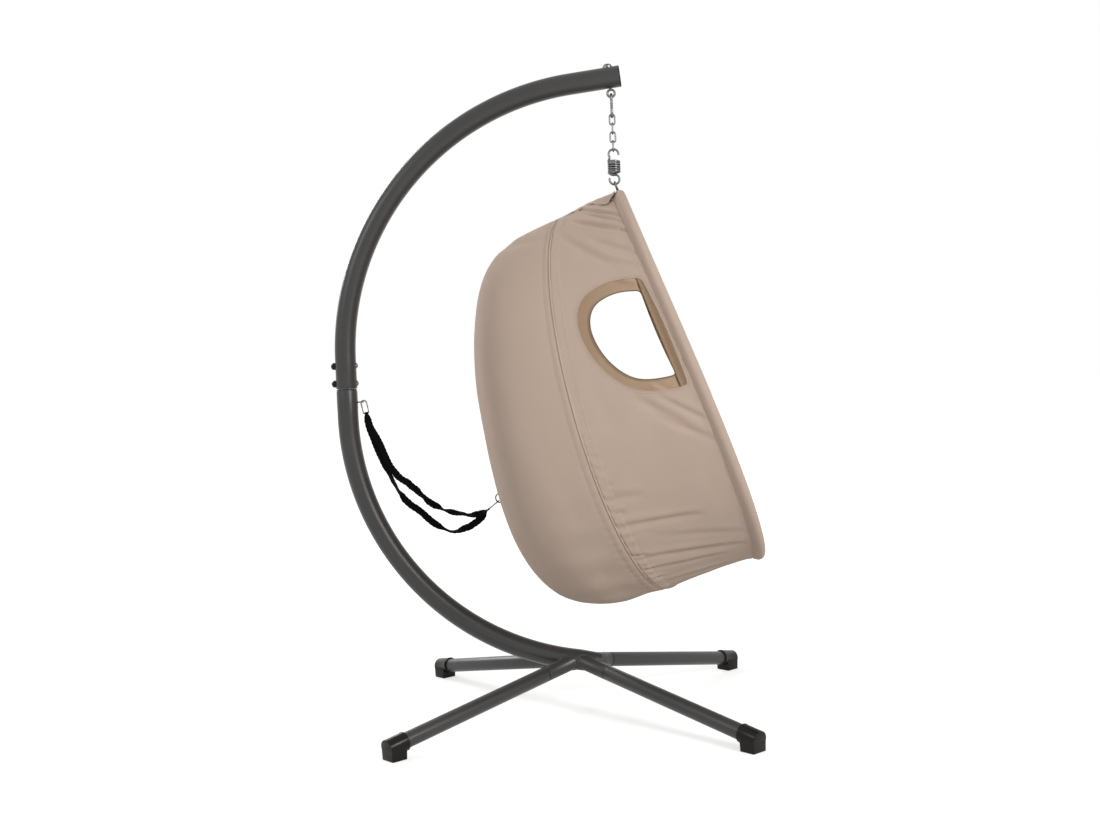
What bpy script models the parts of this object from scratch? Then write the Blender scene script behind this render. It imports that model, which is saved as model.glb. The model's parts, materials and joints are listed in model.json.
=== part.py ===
"""Hanging chair with stand: a fabric pod hung by a snap hook, chain and spring from a C-shaped tube stand."""

import math

import bmesh
import bpy
from mathutils import Matrix, Vector
from mathutils.bvhtree import BVHTree

# Clearances, in metres
GAP = 0.0003
SLEEVE_GAP = 0.0007

# Meshing
WELD = 0.00001
SMOOTH_ANGLE = math.radians(35)
SPLINE_STEPS = 12
DOME_ANGLES = (0, math.radians(30), math.radians(60))

# Bow: a tube that stands up behind the pod and bends forward at both ends
BOW_DIAMETER = 0.0635
BOW_WALL = 0.002
BOW_BACK = 0.6725
HUB_HEIGHT = 0.1528
LOWER_BEND_RADIUS = 0.775
LOWER_UPRIGHT = 0.085
UPPER_UPRIGHT = 0.088
UPPER_BEND_RADIUS = 0.803
UPPER_BEND_ANGLE = math.radians(84)
ARM_STRAIGHT = 0.151
LOWER_END_PAST_HUB = 0.075
NECK_LENGTH = 0.080
NECK_TAPER = 0.010
TUBE_SIDES = 16
BEND_STEPS = 15

# Joint bolts across the bow, with black cap nuts behind
JOINT_BOLT_HEIGHTS = {"lower": 0.016, "upper": 0.070}
BOLT_DIAMETER = 0.008
BOLT_HEAD_DIAMETER = 0.014
BOLT_HEAD_HEIGHT = 0.005
BOLT_HEAD_CROWN = ((0, 1), (0.6, 0.85), (1, 0.4))
CAP_NUT_DIAMETER = 0.022
CAP_NUT_HEIGHT = 0.014
CAP_NUT_SKIRT = 0.005
CAP_NUT_BORE = 0.009
PLUG_DEPTH = 0.020
PLUG_LIP = 0.003

# Legs: four tubes over stubs that are welded to the bow's foot
LEG_DIAMETER = 0.0445
LEG_WALL = 0.0015
BASE_HALF_WIDTH = 0.496
LEG_FOOT_HEIGHT = 0.034
STUB_SEAM = 0.135
STUB_INSERT = 0.060
STUB_CHAMFER = 0.0006
STUB_WALL = 0.003
STUB_BORE_START = 0.065
CAP_WALL = 0.003
CAP_SLEEVE_LENGTH = 0.055
CAP_END = 0.006
FOOT_PAD_LENGTH = 0.050
FOOT_PAD_WIDTH = 0.044
FOOT_PAD_TAPER = 0.9

# Eye bolt through the arm
EYE_FROM_ARM_END = 0.031
EYE_WIRE = 0.007
EYE_HOLE = 0.015
EYE_STANDOFF = 0.001
EYE_NUT_DIAMETER = 0.026
EYE_NUT_HEIGHT = 0.010
EYE_NUT_SKIRT = 0.0025
EYE_NUT_BORE = 0.006

# Snap hook, chain and spring
SNAP_WIRE = 0.008
SNAP_LENGTH = 0.066
SNAP_BEND_RADIUS = 0.012
SNAP_NOSE = 0.017
SNAP_GATE_PIVOT = 0.039
SNAP_GATE_WIRE = 0.0066
GATE_CHAMFER = 0.25
CHAIN_WIRE = 0.005
CHAIN_PITCH = 0.0265
CHAIN_WIDTH = 0.0205
CHAIN_LINKS = 4
SPRING_WIRE = 0.0064
SPRING_TURNS = 5
SPRING_PITCH = 0.0071
SPRING_DIAMETER = 0.039
SPRING_HOOK_DIAMETER = 0.036
SPRING_NECK = 0.020
SPRING_UPPER_HOOK = (math.radians(-10), math.radians(215))
SPRING_LOWER_HOOK = (math.radians(65), math.radians(-200))
SPRING_LEAD = (-0.4, 0.92)
SPRING_POINTS_PER_TURN = 10
SPRING_SIDES = 6
WIRE_SIDES = 8

# Pod: its own frame has X forward out of the mouth and Z up along the tilted front hoop
POD_TILT = math.radians(18.5)
HOOP_HEIGHT = 1.148
HOOP_HALF_WIDTH = 0.400
HOOP_FULLNESS = 0.85
HOOP_EGG = 0.08
HOOP_BOW = 0.021
HOOP_BOW_START = 0.45
HOOP_TUBE = 0.025
HOOP_WALL = 0.0015
HOOP_SIDES = 6
SPIGOT_SIDES = 12
CROWN_HALF_LENGTH = 0.014
CONNECTOR_HALF_LENGTH = 0.055
HOOP_SEAM_HALF = 0.0008
POD_EYE_WIRE = 0.006
POD_EYE_RADIUS = 0.011
POD_EYE_RISE = 0.0345
POD_EYE_STEM = 0.008
ROD_DIAMETER = 0.010
ROD_SIDES = 6
ROD_INSET = 0.009
ROD_DEPTH_TOP = 0.176
ROD_DEPTH_BOTTOM = 0.269
ROD_DEPTH_BOW = 0.1235
BACK_DEPTH = 0.418
BACK_LOWER_SWELL = 0.09
BACK_SQUARENESS = 2.65
BACK_SQUARENESS_LOWER = 0.05
BACK_SIDE_FADE = 4
CLOTH = 0.003
PANEL_SAG = 0.006
PANEL_ROWS = 24
PANEL_COLUMNS = 5
ROW_CROWDING = 0.06
SLEEVE_STEPS = 7
SLEEVE_START = math.radians(120)
SLEEVE_TURN = math.radians(270)
SLEEVE_REACH = 2.1
SLEEVE_TAIL_REACH = 1.7
SLEEVE_STAND_OUT = 0.25
SLEEVE_TUCK = 0.0048
BACK_RINGS = 7
CASING_STEPS = 5
CASING_TURN = math.radians(210)
SEAM_HALF_GAP = 0.0004
EYE_SLOT = 0.024
TOP_FOLD = 0.005
TOP_FOLD_PLACE = 0.10
TOP_FOLD_SPREAD = 0.07
BOTTOM_FOLD = 0.006
BOTTOM_FOLD_PLACE = 0.87
BOTTOM_FOLD_SPREAD = 0.06
FOLD_COUNT = 11

# Window outline in the pod's X and Z, from the top front corner round the back to the lower front corner
WINDOW_OUTLINE = (
    (-0.040, -0.272), (-0.125, -0.251), (-0.203, -0.272), (-0.237, -0.350), (-0.222, -0.460), (-0.150, -0.548),
    (-0.040, -0.577),
)

# Cushions inside the pod
SEAT_PAD = (0.44, 0.46, 0.120)
SEAT_PAD_PLACE = (-0.280, -0.95)
BACK_PAD = (0.052, 0.46, 0.50)
BACK_PAD_PLACE = (-0.45, -0.62)
BACK_PAD_LEAN = math.radians(10)
PAD_SQUARENESS = 0.55
PAD_CROWN = 0.8
PAD_DRAW_IN = 0.05
PAD_SEGMENTS = 24
PAD_RINGS = 14
EDGE_SAMPLES = 8

# Tether between the bow and the back of the pod
TETHER_EYE_DROP = 0.042
TETHER_WIRE = 0.004
TETHER_EYE_RADIUS = 0.007
TETHER_EYE_STANDOFF = 0.003
HOOK_LENGTH = 0.040
HOOK_BEND_RADIUS = 0.0085
HOOK_CORNER_RADIUS = 0.0025
HOOK_NOSE = 0.010
HOOK_GATE_PIVOT = 0.028
HOOK_GATE_WIRE = 0.0034
STRAP_WIDTH = 0.022
STRAP_THICKNESS = 0.0016
STRAP_UPPER = (
    (-0.607, 0.886), (-0.590, 0.846), (-0.571, 0.803), (-0.547, 0.759), (-0.520, 0.727),
    (-0.487, 0.702), (-0.457, 0.672), (-0.423, 0.642), (-0.376, 0.619), (-0.325, 0.608), (-0.282, 0.608),
)
STRAP_LOWER = (
    (-0.607, 0.886), (-0.590, 0.846), (-0.573, 0.801), (-0.556, 0.752), (-0.533, 0.698),
    (-0.500, 0.652), (-0.457, 0.616), (-0.411, 0.577), (-0.366, 0.557), (-0.318, 0.570), (-0.280, 0.592),
)
STRAP_END_WIDTH = 0.010
STRAP_END_TAPER = 0.045
STRAP_PLY_OFFSET = 0.0013
STRAP_PLIES_PART = 0.30
STRAP_PLIES_APART = 0.60
STRAP_TWIST_END = 0.95
STRAP_UPPER_WRAP = math.radians(70)
STRAP_LOWER_WRAP = math.radians(150)
STRAP_STEPS = 28
TAB_HEIGHT = -0.722
RING_RADIUS = 0.0145
RING_WIRE = 0.004
TAB_LENGTH = 0.036
TAB_WIDTH = 0.014

# Colours, roughness and metallic value of each finish
FINISHES = {
    "powder_coat": ((0.075, 0.073, 0.070), 0.45, 0.3),
    "moulded_foot": ((0.020, 0.014, 0.012), 0.6, 0.0),
    "zinc_plate": ((0.42, 0.43, 0.43), 0.35, 1.0),
    "black_cap": ((0.012, 0.012, 0.012), 0.4, 0.0),
    "pod_cloth": ((0.50, 0.40, 0.31), 0.9, 0.0),
    "pad_cloth": ((0.47, 0.37, 0.28), 0.9, 0.0),
    "glass_fibre": ((0.65, 0.63, 0.58), 0.5, 0.0),
    "webbing": ((0.010, 0.010, 0.010), 0.85, 0.0),
}

# Values that follow from the driving dimensions
BOW_RADIUS = BOW_DIAMETER / 2
LEG_RADIUS = LEG_DIAMETER / 2
TUBE_FLAT = math.cos(math.pi / TUBE_SIDES)
STUB_RADIUS = (LEG_RADIUS - LEG_WALL) * TUBE_FLAT - GAP
NECK_RADIUS = (BOW_RADIUS - BOW_WALL) * TUBE_FLAT - GAP
FOOT_SOCKET_RADIUS = (LEG_RADIUS + GAP) / TUBE_FLAT
ARM_SLOPE = math.pi / 2 - UPPER_BEND_ANGLE
HOOP_RADIUS = HOOP_TUBE / 2
SLEEVE_RADIUS = (HOOP_RADIUS + SLEEVE_GAP + CLOTH / 2) / math.cos(SLEEVE_TURN / SLEEVE_STEPS / 2)
ROD_RADIUS = ROD_DIAMETER / 2
CASING_RADIUS = (ROD_RADIUS + SLEEVE_GAP + CLOTH / 2) / math.cos(CASING_TURN / CASING_STEPS / 2)
STRAP_WRAP = TETHER_WIRE / 2 + GAP + STRAP_THICKNESS / 2
LEG_SIDES = {"front_left": (1, 1), "front_right": (1, -1), "rear_left": (-1, 1), "rear_right": (-1, -1)}
POD_FORWARD = Vector((math.cos(POD_TILT), 0, math.sin(POD_TILT)))
POD_UP = Vector((-math.sin(POD_TILT), 0, math.cos(POD_TILT)))


def start_scene():
    """Empties the scene and makes the collections for the parts and the cutters."""
    for old in list(bpy.data.objects):
        bpy.data.objects.remove(old)
    made = {}
    for name in ("hanging_chair", "cutters"):
        made[name] = bpy.data.collections.new(name)
        bpy.context.scene.collection.children.link(made[name])
    return made["hanging_chair"], made["cutters"]


PARTS, CUTTERS = start_scene()


def make_finish(name):
    colour, roughness, metallic = FINISHES[name]
    finish = bpy.data.materials.new(name)
    finish.use_nodes = True
    shader = finish.node_tree.nodes["Principled BSDF"]
    shader.inputs["Base Color"].default_value = (*colour, 1)
    shader.inputs["Roughness"].default_value = roughness
    shader.inputs["Metallic"].default_value = metallic
    return finish


MATERIALS = {name: make_finish(name) for name in FINISHES}


def empty(name, parent, location=(0, 0, 0), rotation=(0, 0, 0)):
    made = bpy.data.objects.new(name, None)
    made.parent = parent
    made.location = location
    made.rotation_euler = rotation
    made.empty_display_size = 0.05
    PARTS.objects.link(made)
    return made


def add(name, data, finish, parent, location=(0, 0, 0), rotation=(0, 0, 0)):
    """Links an object for one sub-part, placed under its parent."""
    made = bpy.data.objects.new(name, data)
    made.parent = parent
    made.location = location
    made.rotation_euler = rotation
    data.materials.clear()
    data.materials.append(MATERIALS[finish])
    PARTS.objects.link(made)
    return made


def add_cutter(name, data, parent, location=(0, 0, 0), rotation=(0, 0, 0)):
    made = bpy.data.objects.new(name, data)
    made.parent = parent
    made.location = location
    made.rotation_euler = rotation
    made.hide_render = True
    made.display_type = "WIRE"
    CUTTERS.objects.link(made)
    return made


def mesh_from(name, work):
    """A smooth-shaded mesh from a bmesh."""
    work.normal_update()
    bmesh.ops.recalc_face_normals(work, faces=work.faces)
    mesh = bpy.data.meshes.new(name)
    work.to_mesh(mesh)
    work.free()
    mesh.shade_smooth()
    mesh.set_sharp_from_angle(angle=SMOOTH_ANGLE)
    return mesh


def curve_mesh(name, points, radius, sides, closed=False, capped=True, scales=None):
    """A tube along a list of points, made with a bevelled curve and turned into a welded mesh."""
    curve = bpy.data.curves.new(name, "CURVE")
    curve.dimensions = "3D"
    curve.bevel_depth = radius
    curve.bevel_resolution = (sides - 4) // 2
    curve.use_fill_caps = capped and not closed
    spline = curve.splines.new("POLY")
    spline.points.add(len(points) - 1)
    spline.use_cyclic_u = closed
    for index, point in enumerate(points):
        spline.points[index].co = (*point, 1)
        spline.points[index].radius = scales[index] if scales else 1
    guide = bpy.data.objects.new(name, curve)
    CUTTERS.objects.link(guide)
    bpy.context.view_layer.update()
    graph = bpy.context.evaluated_depsgraph_get()
    raw = bpy.data.meshes.new_from_object(guide.evaluated_get(graph))
    bpy.data.objects.remove(guide)
    bpy.data.curves.remove(curve)
    work = bmesh.new()
    work.from_mesh(raw)
    bpy.data.meshes.remove(raw)
    bmesh.ops.remove_doubles(work, verts=work.verts, dist=WELD)
    return mesh_from(name, work)


def grid_mesh(name, rows, columns, place):
    """A grid whose points are moved by place(row share, column share), with meeting edges merged."""
    work = bmesh.new()
    bmesh.ops.create_grid(work, x_segments=rows, y_segments=columns, size=0.5)
    for vert in work.verts:
        vert.co = place(vert.co.x + 0.5, vert.co.y + 0.5)
    bmesh.ops.remove_doubles(work, verts=work.verts, dist=WELD)
    return mesh_from(name, work)


def cylinder_mesh(name, radius, start, end, segments=16, end_radius=None):
    """A closed cylinder or cone between two points."""
    start, end = Vector(start), Vector(end)
    along = end - start
    work = bmesh.new()
    bmesh.ops.create_cone(
        work,
        cap_ends=True,
        segments=segments,
        radius1=radius,
        radius2=radius if end_radius is None else end_radius,
        depth=along.length,
    )
    turn = along.to_track_quat("Z", "Y").to_matrix().to_4x4()
    work.transform(Matrix.Translation((start + end) / 2) @ turn)
    return mesh_from(name, work)


def turned(name, profile, finish, parent, location, rotation, steps=12):
    """A turned piece: a profile of (radius, height) points, top to bottom, spun by a Screw modifier."""
    mesh = bpy.data.meshes.new(name)
    points = [(radius, 0, height) for radius, height in profile]
    edges = [(index, index + 1) for index in range(len(points) - 1)]
    mesh.from_pydata(points, edges, [])
    made = add(name, mesh, finish, parent, location, rotation)
    spin = made.modifiers.new("spin", "SCREW")
    spin.steps = steps
    spin.render_steps = steps
    spin.use_merge_vertices = True
    spin.merge_threshold = 0.0001
    spin.use_smooth_shade = True
    return made


def wall(part, thickness, offset):
    shell = part.modifiers.new("wall", "SOLIDIFY")
    shell.thickness = thickness
    shell.offset = offset
    return part


def boolean(part, other, operation):
    cut = part.modifiers.new(other.name, "BOOLEAN")
    cut.operation = operation
    cut.object = other
    cut.solver = "EXACT"


def arc(centre, radius, start, end, count):
    """Points (x, z) on an arc; angles are measured from +X towards +Z."""
    steps = [start + (end - start) * index / count for index in range(count + 1)]
    return [(centre[0] + radius * math.cos(a), centre[1] + radius * math.sin(a)) for a in steps]


def smooth_through(points, count):
    """Evenly shared points on a smooth curve through the given points."""
    knots = [Vector(point) for point in points]
    ends = [2 * knots[0] - knots[1]] + knots + [2 * knots[-1] - knots[-2]]
    dense = []
    for index in range(len(knots) - 1):
        before, first, second, after = ends[index : index + 4]
        for step in range(SPLINE_STEPS):
            t = step / SPLINE_STEPS
            dense.append(
                0.5
                * (
                    2 * first
                    + (second - before) * t
                    + (2 * before - 5 * first + 4 * second - after) * t * t
                    + (3 * first - before - 3 * second + after) * t**3
                )
            )
    dense.append(knots[-1])
    return along(dense, 0, 0, count)


def along(dense, start_cut, end_cut, count):
    """Points at equal spacing along a dense line of points, less a length at each end."""
    lengths = [0.0]
    for first, second in zip(dense, dense[1:]):
        lengths.append(lengths[-1] + (second - first).length)
    spread = lengths[-1] - start_cut - end_cut
    found = []
    index = 0
    for step in range(count + 1):
        want = start_cut + spread * step / count
        while index < len(dense) - 2 and lengths[index + 1] < want:
            index += 1
        share = (want - lengths[index]) / (lengths[index + 1] - lengths[index])
        found.append(dense[index].lerp(dense[index + 1], share))
    return found


# Stand

def lower_bend_angle(x):
    """Turn of the lower bend at which its centre line reaches x."""
    return math.acos(1 - (x + BOW_BACK) / LOWER_BEND_RADIUS)


LOWER_BEND_START = HUB_HEIGHT + LOWER_BEND_RADIUS * math.sin(lower_bend_angle(0))
UPPER_TUBE_FOOT = LOWER_BEND_START + LOWER_UPRIGHT
UPPER_BEND_START = UPPER_TUBE_FOOT + UPPER_UPRIGHT
ARM_START = (
    -BOW_BACK + UPPER_BEND_RADIUS * (1 - math.cos(UPPER_BEND_ANGLE)),
    UPPER_BEND_START + UPPER_BEND_RADIUS * math.sin(UPPER_BEND_ANGLE),
)
ARM_DIRECTION = Vector((math.cos(ARM_SLOPE), 0, math.sin(ARM_SLOPE)))
ARM_NORMAL = Vector((-math.sin(ARM_SLOPE), 0, math.cos(ARM_SLOPE)))
ARM_END = Vector((ARM_START[0], 0, ARM_START[1])) + ARM_DIRECTION * ARM_STRAIGHT
EYE_ON_ARM = ARM_END - ARM_DIRECTION * EYE_FROM_ARM_END
EYE_RING_RADIUS = (EYE_HOLE + EYE_WIRE) / 2
EYE_DROP = BOW_RADIUS + EYE_STANDOFF + EYE_WIRE / 2 + EYE_RING_RADIUS
EYE_CENTRE = EYE_ON_ARM - ARM_NORMAL * EYE_DROP

# Heights down the hanging gear, from the eye to the pod
SWING_HEIGHT = EYE_CENTRE.z - EYE_HOLE / 2 + SNAP_WIRE / 2 + GAP
HANG_X = EYE_CENTRE.x
SWAY_HEIGHT = SWING_HEIGHT - SNAP_LENGTH + SNAP_WIRE / 2 + CHAIN_WIRE / 2 + GAP
LINK_STEP = CHAIN_PITCH - GAP
CHAIN_END = SWAY_HEIGHT - LINK_STEP * (CHAIN_LINKS - 1) - (CHAIN_PITCH + CHAIN_WIRE)
HOOK_TOP = CHAIN_END + CHAIN_WIRE / 2 + SPRING_WIRE / 2 + GAP
HOOK_RADIUS = (SPRING_HOOK_DIAMETER - SPRING_WIRE) / 2
COIL_RADIUS = (SPRING_DIAMETER - SPRING_WIRE) / 2
COIL_TOP = HOOK_TOP - HOOK_RADIUS - SPRING_NECK
COIL_BOTTOM = COIL_TOP - SPRING_TURNS * SPRING_PITCH
LOWER_HOOK_CENTRE = COIL_BOTTOM - SPRING_NECK
POD_CONTACT = LOWER_HOOK_CENTRE - HOOK_RADIUS + SPRING_WIRE / 2 + POD_EYE_WIRE / 2 + GAP
POD_ORIGIN = Vector((HANG_X, 0, POD_CONTACT)) - POD_UP * (POD_EYE_RADIUS + POD_EYE_RISE)

CHAIR = empty("chair_origin", None)


def upright_hole(name, height, start, end, diameter):
    """Cutter for a hole in the bow's upright, between two distances from its centre line."""
    points = [(-BOW_BACK + distance, 0, height) for distance in (start, end)]
    return add_cutter(name, cylinder_mesh(name, diameter / 2, *points), CHAIR)


def stand_holes():
    """Cutters for the joint bolts, which pass through both tubes, and for the tether's eye."""
    holes = {}
    for name, rise in JOINT_BOLT_HEIGHTS.items():
        height = UPPER_TUBE_FOOT + rise
        diameter = BOLT_DIAMETER + 2 * GAP
        holes[name] = upright_hole(f"{name}_bolt_hole", height, -BOW_DIAMETER, BOW_DIAMETER, diameter)
    height = UPPER_TUBE_FOOT - TETHER_EYE_DROP
    holes["tether_eye"] = upright_hole("tether_eye_hole", height, 0, BOW_DIAMETER, TETHER_WIRE + 2 * GAP)
    return holes


HOLES = stand_holes()


def make_upper_bow():
    path = [(-BOW_BACK, UPPER_TUBE_FOOT), (-BOW_BACK, (UPPER_TUBE_FOOT + UPPER_BEND_START) / 2)]
    bend_centre = (-BOW_BACK + UPPER_BEND_RADIUS, UPPER_BEND_START)
    path += arc(bend_centre, UPPER_BEND_RADIUS, math.pi, math.pi - UPPER_BEND_ANGLE, BEND_STEPS)
    path += [(EYE_ON_ARM.x, EYE_ON_ARM.z), (ARM_END.x, ARM_END.z)]
    points = [(x, 0, z) for x, z in path]
    tube = add("upper_bow_tube", curve_mesh("upper_bow_tube", points, BOW_RADIUS, TUBE_SIDES, capped=False),
               "powder_coat", CHAIR)
    wall(tube, BOW_WALL, -1)
    for name in JOINT_BOLT_HEIGHTS:
        boolean(tube, HOLES[name], "DIFFERENCE")
    start = EYE_ON_ARM - ARM_NORMAL * BOW_DIAMETER
    end = EYE_ON_ARM + ARM_NORMAL * BOW_DIAMETER
    eye_hole = cylinder_mesh("eye_bolt_hole", EYE_WIRE / 2 + GAP, start, end)
    boolean(tube, add_cutter("eye_bolt_hole", eye_hole, CHAIR), "DIFFERENCE")


def leg_frame(side_x, side_y):
    """Start and unit direction of a leg's axis, from the hub's centre to its foot."""
    start = Vector((0, 0, HUB_HEIGHT))
    foot = Vector((side_x * BASE_HALF_WIDTH, side_y * BASE_HALF_WIDTH, LEG_FOOT_HEIGHT))
    return start, (foot - start).normalized(), (foot - start).length


def make_lower_bow():
    neck_top = UPPER_TUBE_FOOT + NECK_LENGTH
    shoulder = UPPER_TUBE_FOOT - GAP
    path = [neck_top, shoulder, shoulder - NECK_TAPER, LOWER_BEND_START]
    scales = [NECK_RADIUS / BOW_RADIUS, NECK_RADIUS / BOW_RADIUS, 1, 1]
    points = [(-BOW_BACK, 0, height) for height in path]
    end_turn = lower_bend_angle(LOWER_END_PAST_HUB)
    bend_centre = (-BOW_BACK + LOWER_BEND_RADIUS, LOWER_BEND_START)
    bend = arc(bend_centre, LOWER_BEND_RADIUS, math.pi, math.pi + end_turn, BEND_STEPS)[1:]
    points += [(x, 0, z) for x, z in bend]
    scales += [1] * len(bend)
    tube = add("lower_bow_tube", curve_mesh("lower_bow_tube", points, BOW_RADIUS, TUBE_SIDES, scales=scales),
               "powder_coat", CHAIR)
    stub_bores = []
    for name, (side_x, side_y) in LEG_SIDES.items():
        start, direction, _ = leg_frame(side_x, side_y)
        reaches = (0, STUB_SEAM - GAP - STUB_CHAMFER, STUB_SEAM - GAP, STUB_SEAM + STUB_INSERT)
        neck = STUB_RADIUS / LEG_RADIUS
        stub = curve_mesh(name + "_stub", [start + direction * reach for reach in reaches], LEG_RADIUS, TUBE_SIDES,
                          scales=(1, 1, neck, neck))
        boolean(tube, add_cutter(name + "_stub", stub, CHAIR), "UNION")
        bore_start = start + direction * STUB_BORE_START
        bore_end = start + direction * (STUB_SEAM + 2 * STUB_INSERT)
        stub_bore = cylinder_mesh(name + "_stub_bore", STUB_RADIUS - STUB_WALL, bore_start, bore_end)
        stub_bores.append(add_cutter(name + "_stub_bore", stub_bore, CHAIR))
    for stub_bore in stub_bores:
        boolean(tube, stub_bore, "DIFFERENCE")
    bore_points = [Vector(point) for point in points[:-1]]
    bore_points[0].z += NECK_TAPER
    bore_scales = [(scale * BOW_RADIUS - BOW_WALL) / BOW_RADIUS for scale in scales[:-1]]
    bore = curve_mesh("bow_bore", bore_points, BOW_RADIUS, TUBE_SIDES, scales=bore_scales)
    boolean(tube, add_cutter("bow_bore", bore, CHAIR), "DIFFERENCE")
    for name in JOINT_BOLT_HEIGHTS:
        boolean(tube, HOLES[name], "DIFFERENCE")
    boolean(tube, HOLES["tether_eye"], "DIFFERENCE")


def make_legs():
    for name, (side_x, side_y) in LEG_SIDES.items():
        start, direction, length = leg_frame(side_x, side_y)
        ends = [start + direction * STUB_SEAM, start + direction * length]
        leg = add(name + "_leg", curve_mesh(name + "_leg", ends, LEG_RADIUS, TUBE_SIDES, capped=False),
                  "powder_coat", CHAIR)
        wall(leg, LEG_WALL, -1)
        make_foot(name, start, direction, length)


def make_foot(name, start, direction, length):
    """A moulded cap on the leg's end: a sleeve with a tapered pad under it that stands on the floor."""
    outer = FOOT_SOCKET_RADIUS + CAP_WALL
    end = start + direction * (length + GAP + CAP_END)
    begin = start + direction * (length - CAP_SLEEVE_LENGTH)
    cap = add(name + "_foot", cylinder_mesh(name + "_foot", outer, begin, end), "moulded_foot", CHAIR)
    heading = math.atan2(direction.y, direction.x)
    middle = end - direction * FOOT_PAD_LENGTH / 2
    work = bmesh.new()
    bmesh.ops.create_cone(
        work,
        cap_ends=True,
        segments=4,
        radius1=FOOT_PAD_TAPER * math.sqrt(0.5),
        radius2=math.sqrt(0.5),
        depth=1,
        matrix=Matrix.Rotation(math.pi / 4, 4, "Z"),
    )
    size = Matrix.Diagonal((FOOT_PAD_LENGTH, FOOT_PAD_WIDTH, middle.z, 1))
    place = Matrix.Translation((middle.x, middle.y, middle.z / 2))
    work.transform(place @ Matrix.Rotation(heading, 4, "Z") @ size)
    boolean(cap, add_cutter(name + "_pad", mesh_from(name + "_pad", work), CHAIR), "UNION")
    socket_start = begin - direction * CAP_SLEEVE_LENGTH
    socket = cylinder_mesh(name + "_socket", FOOT_SOCKET_RADIUS, socket_start, start + direction * (length + GAP))
    boolean(cap, add_cutter(name + "_socket", socket, CHAIR), "DIFFERENCE")


def make_joint_bolts():
    """Through bolts with their heads inside the bow's curve, and a blind cap nut behind each."""
    shank = BOLT_DIAMETER / 2
    seat = BOW_RADIUS + GAP
    for name, rise in JOINT_BOLT_HEIGHTS.items():
        place = (-BOW_BACK, 0, UPPER_TUBE_FOOT + rise)
        head = BOLT_HEAD_DIAMETER / 2
        bolt = [(head * out, seat + BOLT_HEAD_HEIGHT * up) for out, up in BOLT_HEAD_CROWN]
        bolt += [(head, seat), (shank, seat),
                 (shank, -seat - CAP_NUT_BORE + GAP), (0, -seat - CAP_NUT_BORE + GAP)]
        turned(name + "_joint_bolt", bolt, "zinc_plate", CHAIR, place, (0, math.pi / 2, 0))
        cap = CAP_NUT_DIAMETER / 2
        bore = shank + GAP
        nut = [(0, -seat - CAP_NUT_BORE), (bore, -seat - CAP_NUT_BORE), (bore, -seat), (cap, -seat)]
        rise = CAP_NUT_HEIGHT - CAP_NUT_SKIRT
        nut += [(cap * math.cos(a), -seat - CAP_NUT_SKIRT - rise * math.sin(a)) for a in DOME_ANGLES]
        nut += [(0, -seat - CAP_NUT_HEIGHT)]
        turned(name + "_cap_nut", nut, "black_cap", CHAIR, place, (0, math.pi / 2, 0))


def make_arm_end():
    """The plug in the arm's open end and the eye bolt with its dome nut."""
    inside = NECK_RADIUS
    plug = [(0, PLUG_LIP), (BOW_RADIUS - PLUG_LIP / 2, PLUG_LIP), (BOW_RADIUS, PLUG_LIP / 2), (BOW_RADIUS, GAP),
            (inside, GAP), (inside, -PLUG_DEPTH), (0, -PLUG_DEPTH)]
    turned("arm_end_plug", plug, "black_cap", CHAIR, ARM_END, (0, math.pi / 2 - ARM_SLOPE, 0), steps=24)
    work = curve_mesh("eye_ring", ring_points(EYE_RING_RADIUS, 14), EYE_WIRE / 2, WIRE_SIDES, closed=True)
    eye = add("eye_bolt", work, "zinc_plate", CHAIR, EYE_CENTRE, (0, -ARM_SLOPE, 0))
    nut_seat = EYE_DROP + BOW_RADIUS + GAP
    shank_end = nut_seat + EYE_NUT_BORE
    shank = cylinder_mesh("eye_shank", EYE_WIRE / 2, (0, 0, EYE_RING_RADIUS), (0, 0, shank_end), 12)
    boolean(eye, add_cutter("eye_shank", shank, CHAIR, EYE_CENTRE, (0, -ARM_SLOPE, 0)), "UNION")
    outer = EYE_NUT_DIAMETER / 2
    bore = EYE_WIRE / 2 + GAP
    nut = [(0, nut_seat + EYE_NUT_HEIGHT)]
    rise = EYE_NUT_HEIGHT - EYE_NUT_SKIRT
    nut += [(outer * math.cos(a), nut_seat + EYE_NUT_SKIRT + rise * math.sin(a)) for a in DOME_ANGLES[::-1]]
    nut += [(outer, nut_seat), (bore, nut_seat), (bore, shank_end + GAP), (0, shank_end + GAP)]
    turned("eye_bolt_nut", nut, "zinc_plate", CHAIR, EYE_CENTRE, (0, -ARM_SLOPE, 0))


def ring_points(radius, count):
    """A ring in the XZ plane."""
    return [(x, 0, z) for x, z in arc((0, 0), radius, 0, 2 * math.pi, count)[:-1]]


# Hanging gear

def snap_path(length, bend, corner, nose, pivot_end):
    """Open loop in the YZ plane, from the gate's pivot round the bottom and over the top to the nose."""
    flat_half = bend - corner
    lower = arc((-flat_half, -length + corner), corner, math.pi, 1.5 * math.pi, 4)
    lower += arc((flat_half, -length + corner), corner, 1.5 * math.pi, 2 * math.pi, 4)[0 if flat_half else 1 :]
    upper = arc((0, -bend), bend, 0, math.pi, 8)
    flat = [(-bend, -pivot_end)] + lower + upper + [(-bend, -nose)]
    return [(0, y, z) for y, z in flat]


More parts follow.
